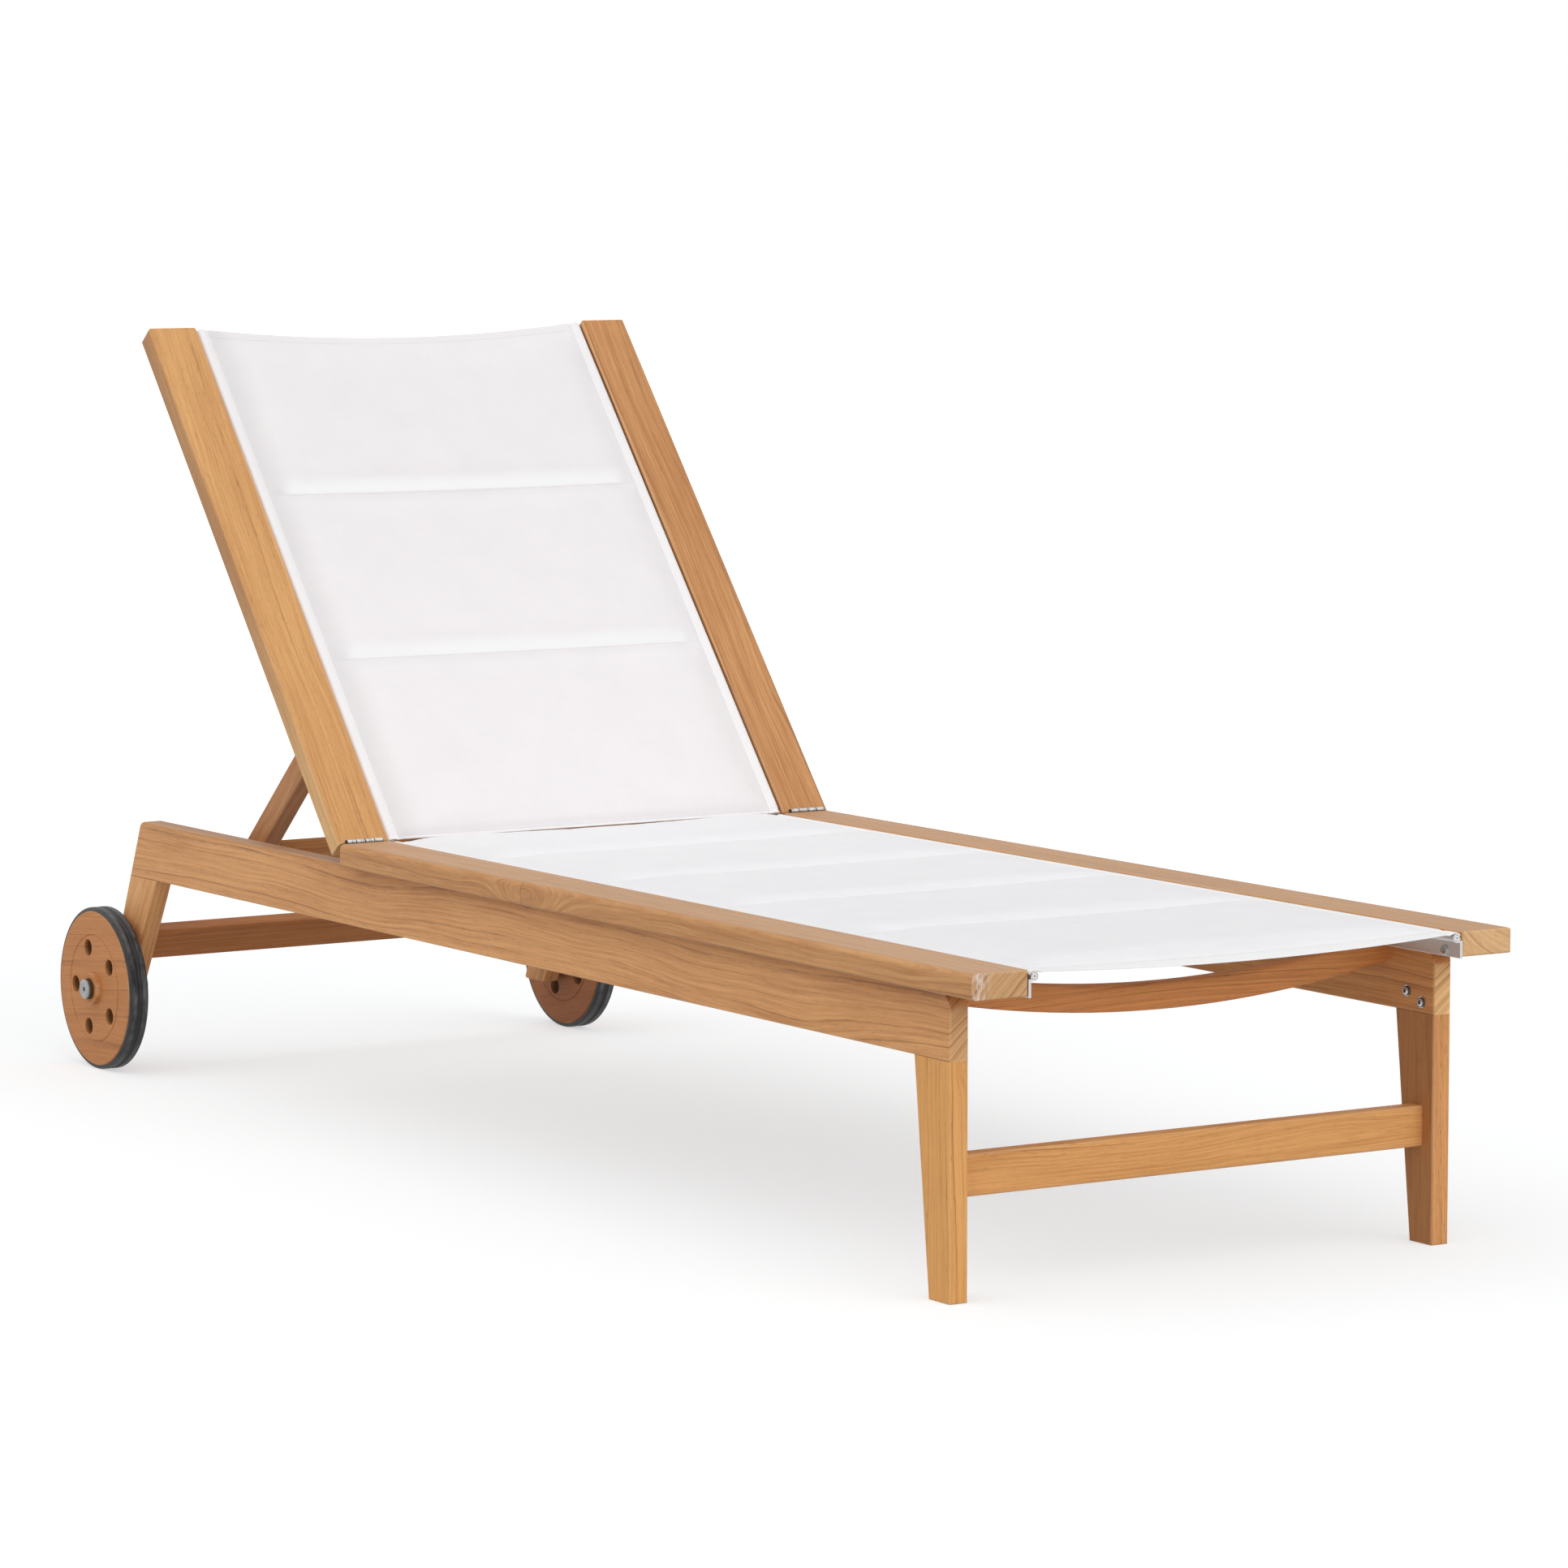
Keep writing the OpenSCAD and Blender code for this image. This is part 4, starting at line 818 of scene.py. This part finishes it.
def makePropRail():
    v = propRailValues
    low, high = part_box("prop_dowel")
    dowel = (low + high) / 2
    bottom = (high.z - low.z) / 2 + v["aboveDowel"]
    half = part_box("prop_strut_right")[0].x + v["into"]
    railLow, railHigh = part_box("prop_rail")
    down = Vector(strutWay["grain"]).normalized()
    out = Vector((0, -down.z, down.y))
    level = ((railLow + railHigh) / 2 - dowel).dot(out)
    deselectAll()
    bpy.ops.mesh.primitive_cube_add(size=1)
    rail = named("propRail")
    rail.scale = (2 * half, v["top"] - bottom, v["thick"])
    rail.rotation_euler = (atan2(down.z, down.y), 0, 0)
    middle = dowel - down * ((v["top"] + bottom) / 2) + out * level
    rail.location = (0, middle.y, middle.z)
    bpy.ops.object.transform_apply(location=True, rotation=True, scale=True)
    modified(rail, "BEVEL", width=v["edge"], segments=v["edgeSteps"])
    bpy.ops.object.shade_smooth_by_angle(angle=smoothAngle)
    dress(rail, nodes["prop_rail"].data.materials[0])
    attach(rail, "prop")
    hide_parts("prop_rail")


makePropRail()
print("prop rail done")

# slings

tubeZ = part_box("seat_track_left")[1].z - 0.0046  # middle of the track's round part
tubeX = 0.255

slingWeave = {
    "colour": (0.915, 0.912, 0.914, 1),
    "shade": (0.860, 0.858, 0.866, 1),
    # painted light: a paler colour for the flat cloth and the bands above seams
    "paintedLight": (0.955, 0.955, 0.955, 1),
    "yarn": 0.0011,
    "roughness": 0.82,
    "sheen": 0.12,
    "sheenRoughness": 0.5,
    "gloss": 0.30,
    "weftHeight": 0.9,
    "slubSize": (900.0, 14.0, 14.0),
    "slubAcrossSize": (14.0, 900.0, 14.0),
    "cloudSize": (16.0, 16.0, 16.0),
    "puckerSize": (38.0, 26.0, 26.0),
    "paintedLightShare": 0.3,
    "topRise": (0.10, 0.72),  # the top's shade grows between these distances from the hinge
    "bandUpper": (0.0015, 0.004, 0.026),  # a light band above a seam: full here, fading between these
    "bandLower": (0.020, 0.05),  # a dark band below a seam: its width and depth of shade
    "bandEnds": (0.030, 0.012),  # how far from the margins the bands begin and are full
    "edgeWidth": 0.045,
}

slingSection = {
    "cloth": 0.0013,  # thickness of the bare cloth
    "wrap": 0.00525,  # middle of the cloth around the track
    "slotTurn": 18.0,
    "margin": 0.2465,  # stitch line beside each track
    "span": 0.249,  # half the width that hangs between the tracks
    "shoulder": 0.021,  # how far from a stitch line the padding reaches most of its height
    "groove": 0.0011,  # how far a stitch line pulls the cloth in
    "grooveWidth": 0.0022,
    "hemWidth": 0.0026,
    "drop": 0.0040,  # how far the padding stands out below
    "sagMiddle": 0.0015,
    "seamDepth": 0.80,  # share of the padding's height that a seam presses down
    "marginDip": 0.0009,
    "startRun": 0.13,  # how far the sag at the start, the sag at the end and the dip there reach
    "endRun": 0.16,
    "dipRun": 0.10,
    "droopBend": 1.4,
    "blank": 0.01,  # thickness before the two faces are shaped
    "held": (0.02, 0.0004),  # share of the padding and distance from a seam where the cloth stays put
}

slingGrid = {
    "flat": 0.2385,  # evenly spaced columns end here, and narrow ones follow up to the track
    "flatSteps": 30, "marginColumns": (0.0042, 0.0016, 0), "shoulderColumns": [0.2480, 0.2512],
    "arcSteps": 6, "slotColumns": (0.0013, 0.0027),
    "startRows": (0, 0.06, 0.25, 0.5, 0.75, 0.93), "endRows": (1, 0.93, 0.7, 0.4, 0.06, 0),
    "seamRows": (0.0016, 0.0045), "firstRow": 0.008, "rowPitch": 0.0082,
}

clothValues = {"steps": 20, "quality": 4, "pressure": 4.0, "growth": -0.004}

seatSlingValues = {
    "name": "seatSling", "node": "seat_sling", "body": "frame",
    "start": 0.0010, "end": 1.2555, "startHem": 0.024, "endHem": 0.0050,
    "startFade": 0.012, "endFade": 0.003, "seamFade": 0.010,
    "seams": (0.310, 0.558, 0.805, 1.047),
    "rise": 0.0066, "droop": 0.0030,
    "sagStart": 0.0048, "sagEnd": 0.0024, "dipEnd": 0.0,
    "turn": 0.0, "cap": 0.0014,
    "hemLight": 0.8, "edgeShade": 0.03, "bandShade": 0.0, "topShade": 0.0,
    # the seat's tint is partly the cloth's cool cast and partly painted light that makes the seat
    # brighter
    "tint": (1.02, 1.02, 1.035),
}

backSlingValues = {
    "name": "backSling", "node": "back_sling", "body": "backrest",
    "start": 0.0018, "end": 0.7250, "startHem": 0.0045, "endHem": 0.011,
    "startFade": 0.006, "endFade": 0.013, "seamFade": 0.0065,
    "seams": (0.247, 0.481),
    "rise": 0.0080, "droop": 0.0,
    "sagStart": 0.0006, "sagEnd": 0.0080, "dipEnd": 0.0110,
    "turn": backTurn, "cap": 0.0018,
    "hemLight": 0.0, "edgeShade": 0.13, "bandShade": 1.0, "topShade": 0.045,
    # the back's tint is partly the cloth's warm cast and partly painted shade that makes the back
    # darker
    "tint": (1.0, 0.970, 0.975),
}


def wrapLength():
    # how far the cloth goes around the track before it enters the slot
    return slingSection["wrap"] * radians(90 - slingSection["slotTurn"])


def columnPlaces():
    g = slingGrid
    arc = wrapLength()
    half = [g["flat"] * i / g["flatSteps"] for i in range(g["flatSteps"] + 1)]
    half += [slingSection["margin"] - away for away in g["marginColumns"]]
    half += g["shoulderColumns"] + [tubeX]
    half += [tubeX + arc * i / g["arcSteps"] for i in range(1, g["arcSteps"] + 1)]
    half += [tubeX + arc + more for more in g["slotColumns"]]
    return [-u for u in reversed(half[1:])] + half


def seamStops(v):
    return [v["start"] + v["startHem"]] + list(v["seams"]) + [v["end"] - v["endHem"]]


def rowPlaces(v):
    g = slingGrid
    stops = seamStops(v)
    first, second = g["seamRows"]
    rows = [v["start"] + v["startHem"] * part for part in g["startRows"]]
    for low, high in zip(stops, stops[1:]):
        rows += [low, low + first, low + second]
        inner = high - low - 2 * g["firstRow"]
        count = round(inner / g["rowPitch"])
        rows += [low + g["firstRow"] + inner * i / count for i in range(count + 1)]
        rows += [high - second, high - first]
    rows += [v["end"] - v["endHem"] * part for part in g["endRows"]]
    return rows


def clothLine(u):
    # middle of the cloth across one half: place, height and the normal there
    k = slingSection
    far = abs(u)
    side = copysign(1, u)
    arc = wrapLength()
    if far <= tubeX:
        lift = k["wrap"] - k["marginDip"] * min(1, (tubeX - far) / (tubeX - k["margin"]))
        return far * side, lift, 0.0, 1.0
    turn = pi / 2 - min(far - tubeX, arc) / k["wrap"]
    radius = k["wrap"] - max(0, far - tubeX - arc)
    inSlot = far - tubeX > arc + 0.0002
    sine, cosine = sin(turn), cos(turn)
    normal = (-sine * side, cosine) if inSlot else (cosine * side, sine)
    return (tubeX + radius * cosine) * side, radius * sine, *normal


def rounded(distance, fall):
    return 1 - exp(-max(0.0, distance) / fall)


def seamDistance(v, s):
    return min(abs(s - place) for place in v["seams"])


def padShare(v, x, s):
    # 0 on the bare cloth, 1 on the padding; and 0 at a seam, 1 in the middle of a panel
    stops = seamStops(v)
    side = rounded(slingSection["margin"] - abs(x), slingSection["shoulder"])
    ends = rounded(s - stops[0], v["startFade"]) * rounded(stops[-1] - s, v["endFade"])
    return side * ends, rounded(seamDistance(v, s), v["seamFade"])


def hangShare(x):
    return max(0.0, 1 - (x / slingSection["span"]) ** 2)


def dipped(v, x, s):
    # the far edge is pulled in between the tracks
    return s - v["dipEnd"] * hangShare(x) * exp(-(v["end"] - s) / slingSection["dipRun"])


def clothPoint(v, u, s, upper):
    # place of a point of the upper or lower face, and its share of the padding
    k = slingSection
    x, z, normalX, normalZ = clothLine(u)
    share, crown = padShare(v, x, s)
    outward = k["cloth"] / 2 if upper else -k["cloth"] / 2
    x += normalX * outward
    z += normalZ * outward
    if share > 0:
        press = 1 - k["seamDepth"] * (1 - crown)
        z += share * press * v["rise"] if upper else -share * press * k["drop"]
    hang = hangShare(x)
    length = v["end"] - v["start"]
    fromStart = (s - v["start"]) / length
    sag = v["sagStart"] * exp(-fromStart * length / k["startRun"])
    sag += v["sagEnd"] * exp(-(1 - fromStart) * length / k["endRun"])
    sag += k["sagMiddle"] * sin(pi * fromStart)
    z -= sag * hang
    groove = exp(-((abs(u) - k["margin"]) / k["grooveWidth"]) ** 2)
    groove = max(groove, exp(-((s - v["start"] - v["startHem"]) / k["hemWidth"]) ** 2))
    z -= k["groove"] * groove
    z -= v["droop"] * max(0.0, 1 - (s - v["start"]) / v["startHem"]) ** k["droopBend"] * hang
    return (x, dipped(v, x, s), z), share


def makeSling(v):
    columns = columnPlaces()
    rows = rowPlaces(v)
    deselectAll()
    bpy.ops.mesh.primitive_grid_add(
        x_subdivisions=len(columns) - 1, y_subdivisions=len(rows) - 1, size=2)
    sling = named(v["name"])
    spots = []
    for vertex in sling.data.vertices:
        i = round((vertex.co.x + 1) / 2 * (len(columns) - 1))
        j = round((vertex.co.y + 1) / 2 * (len(rows) - 1))
        spots.append((columns[i], rows[j]))
    modified(sling, "SOLIDIFY", thickness=slingSection["blank"], offset=-1)
    leastShare, leastDistance = slingSection["held"]
    held = []
    for index, vertex in enumerate(sling.data.vertices):
        u, s = spots[index % len(spots)]
        vertex.co, share = clothPoint(v, u, s, index < len(spots))
        if share < leastShare or seamDistance(v, s) < leastDistance:
            held.append(index)
    swell(sling, held, v)
    choose(sling)
    modified(sling, "SUBSURF", levels=1, render_levels=1)
    bpy.ops.object.shade_smooth()
    return sling


def swell(sling, held, v):
    # air pressure fills each panel between its seams, and no point moves further than the cap
    start = [vertex.co.copy() for vertex in sling.data.vertices]
    group = sling.vertex_groups.new(name="held")
    group.add(held, 1.0, "REPLACE")
    choose(sling)
    bpy.ops.object.modifier_add(type="CLOTH")
    cloth = sling.modifiers[-1]
    settings = cloth.settings
    settings.vertex_group_mass = group.name
    settings.quality = clothValues["quality"]
    settings.use_pressure = True
    settings.uniform_pressure_force = clothValues["pressure"]
    settings.effector_weights.gravity = 0.0
    settings.shrink_min = clothValues["growth"]
    cloth.collision_settings.use_collision = False
    cloth.collision_settings.use_self_collision = False
    for number in range(1, clothValues["steps"] + 1):
        scene.frame_set(number)
    bpy.ops.object.modifier_apply(modifier=cloth.name)
    scene.frame_set(1)
    cap = v["cap"]
    for vertex, before in zip(sling.data.vertices, start):
        moved = vertex.co - before
        if moved.length > 1e-7:
            vertex.co = before + moved.normalized() * cap * tanh(moved.length / cap)
    sling.vertex_groups.clear()


def hangPiece(piece, v):
    # from flat and at the origin to where the sling hangs
    if v["turn"]:
        shift = Matrix.Translation((0, hingePlace.y, tubeZ))
        turn = Matrix.Rotation(radians(v["turn"]), 4, "X")
        turn = Matrix.Translation(hingePlace) @ turn @ Matrix.Translation(-hingePlace)
        piece.data.transform(turn @ shift)
    else:
        piece.data.transform(Matrix.Translation((0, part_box("seat_rail_left")[0].y, tubeZ)))
    piece.data.update()


threadValues = {
    "length": 0.0033, "width": 0.00075, "height": 0.00055, "pitch": 0.0042, "sink": 0.00012,
    "startInset": 0.004, "endInset": 0.003, "seamInset": 0.003, "hemInset": 0.0005,
}


def stitchRows(v):
    t = threadValues
    m = slingSection["margin"]
    rows = [((x, v["start"] + t["startInset"]), (x, v["end"] - t["endInset"])) for x in (-m, m)]
    rows += [((-m + t["seamInset"], s), (m - t["seamInset"], s)) for s in v["seams"]]
    stops = seamStops(v)
    rows += [((-m + t["hemInset"], s), (m - t["hemInset"], s)) for s in (stops[0], stops[-1])]
    return rows


def makeStitches(v, sling):
    t = threadValues
    deselectAll()
    bpy.ops.mesh.primitive_uv_sphere_add(segments=6, ring_count=4, radius=0.5)
    first = bpy.context.object
    first.data.transform(Matrix.Rotation(pi / 2, 4, "Y"))
    first.data.transform(Matrix.Diagonal((t["length"], t["width"], t["height"], 1)))
    bpy.ops.object.shade_smooth()
    surface = BVHTree.FromObject(sling, bpy.context.evaluated_depsgraph_get())
    copies = []
    for (x0, s0), (x1, s1) in stitchRows(v):
        count = int(hypot(x1 - x0, s1 - s0) / t["pitch"])
        points = []
        for i in range(count + 1):
            x = x0 + (x1 - x0) * i / count
            s = dipped(v, x, s0 + (s1 - s0) * i / count)
            found, normal, _, _ = surface.ray_cast(Vector((x, s, 0.1)), Vector((0, 0, -1)))
            if found:
                points.append((found, normal))
        for (a, normal), (b, _) in zip(points, points[1:]):
            way = (b - a).normalized()
            up = (normal - way * normal.dot(way)).normalized()
            middle = (a + b) / 2 + up * (t["height"] * 0.5 - t["sink"])
            turned = Matrix((way, up.cross(way), up)).transposed().to_4x4()
            piece = first.copy()
            piece.data = first.data.copy()
            piece.data.transform(Matrix.Translation(middle) @ turned)
            scene.collection.objects.link(piece)
            copies.append(piece)
    choose(copies[0])
    for piece in copies:
        piece.select_set(True)
    bpy.ops.object.join()
    stitches = bpy.context.object
    stitches.name = v["name"] + "Stitching"
    bpy.data.objects.remove(first)
    return stitches


def seamBands(m, v, cloth, x, past):
    # a seam catches light on its upper side and holds shade on its lower side
    w = slingWeave
    margin = slingSection["margin"]
    full, fadeStart, fadeEnd = w["bandUpper"]
    width, depth = w["bandLower"]
    begin, whole = w["bandEnds"]
    middle = m.ramp(m.size(x), margin - begin, margin - whole, v["bandShade"], 0.0)
    upper = m.ramp(past, 0.0005, full) * m.ramp(past, fadeStart, fadeEnd, 1.0, 0.0)
    cloth = m.blended(upper * middle, cloth, w["paintedLight"])
    lower = m.ramp(past, -width, -0.001, 0.0, depth) * m.ramp(past, -0.001, 0.0, 1.0, 0.0)
    return m.blended(lower * middle, cloth, black)


def weave(name, v):
    w = slingWeave
    m = finish(
        name, Roughness=w["roughness"], Sheen_Weight=w["sheen"], Sheen_Roughness=w["sheenRoughness"],
        Specular_IOR_Level=w["gloss"])
    flat = m.turnedPlace(hingePlace, (radians(v["turn"]), 0, 0))
    x, y, z = m.split(flat)
    u = x / w["yarn"]
    s = y / w["yarn"]
    warp = m.size(m.one("SINE", u * pi))
    weft = m.size(m.one("SINE", s * pi))
    squares = m.joined(u + 0.0001, s + 0.0001, 0.5)
    over = m.node("ShaderNodeTexChecker", {}, {"Vector": squares, "Scale": 1.0}, 1)
    yarns = over * warp + (1.0 - over) * weft * w["weftHeight"]
    slub = m.noise(flat, w["slubSize"])
    slubAcross = m.noise(flat, w["slubAcrossSize"])
    cloud = m.noise(flat, w["cloudSize"], detail=4.0, roughness=0.6)
    low = (1.0 - yarns) * 0.30 + (slub + slubAcross - 1.0) * 0.60 + (cloud - 0.5) * 1.20 + 0.20
    cloth = m.tinted(1.0, m.blended(low, w["colour"], w["shade"]), v["tint"])
    margin = slingSection["margin"]
    # painted light: the flat margins beside the tracks are paler than the padding
    paintedLight = m.ramp(m.size(x), margin - 0.0006, margin + 0.0006) * w["paintedLightShare"]
    # painted light: the hem at the start is flat and painted paler
    origin = hingePlace.y if v["turn"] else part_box("seat_rail_left")[0].y
    hem = origin + v["start"] + v["startHem"] - hingePlace.y
    paintedLight = m.most(paintedLight, m.ramp(y, hem - 0.0006, hem + 0.0006, v["hemLight"], 0.0))
    cloth = m.blended(paintedLight, cloth, w["paintedLight"])
    cloth = m.blended(m.ramp(y, *w["topRise"], 0.0, v["topShade"]), cloth, black)
    if v["bandShade"]:
        for seam in v["seams"]:
            cloth = seamBands(m, v, cloth, x, y + (hingePlace.y - origin - seam))
    # the padding's turned edge holds more shade on one side
    edge = m.ramp(x, -margin, w["edgeWidth"] - margin, 1.0, 0.0) ** 1.6
    edge = edge * m.ramp(x, -margin - 0.0008, -margin)
    cloth = m.blended(edge * v["edgeShade"], cloth, black)
    weaveBump = m.bump(yarns * 0.8 + (slub + slubAcross) * 0.35, 0.35, 0.00018)
    pucker = m.noise(flat, w["puckerSize"])
    normal = m.node("ShaderNodeBump", {}, {
        "Strength": 0.25, "Distance": 0.0012, "Height": pucker, "Normal": weaveBump})
    return m.surface(cloth, w["roughness"] - 0.05 + slub * 0.1, normal)


threadFinish = cordMaterial("polyesterThread")
for v in (seatSlingValues, backSlingValues):
    sling = makeSling(v)
    stitches = makeStitches(v, sling)
    for piece in (sling, stitches):
        hangPiece(piece, v)
        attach(piece, v["body"])
    dress(sling, weave("weave_" + v["name"], v))
    dress(stitches, threadFinish)
    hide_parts(v["node"])
    print(v["name"], "done:", len(sling.data.polygons), "faces")
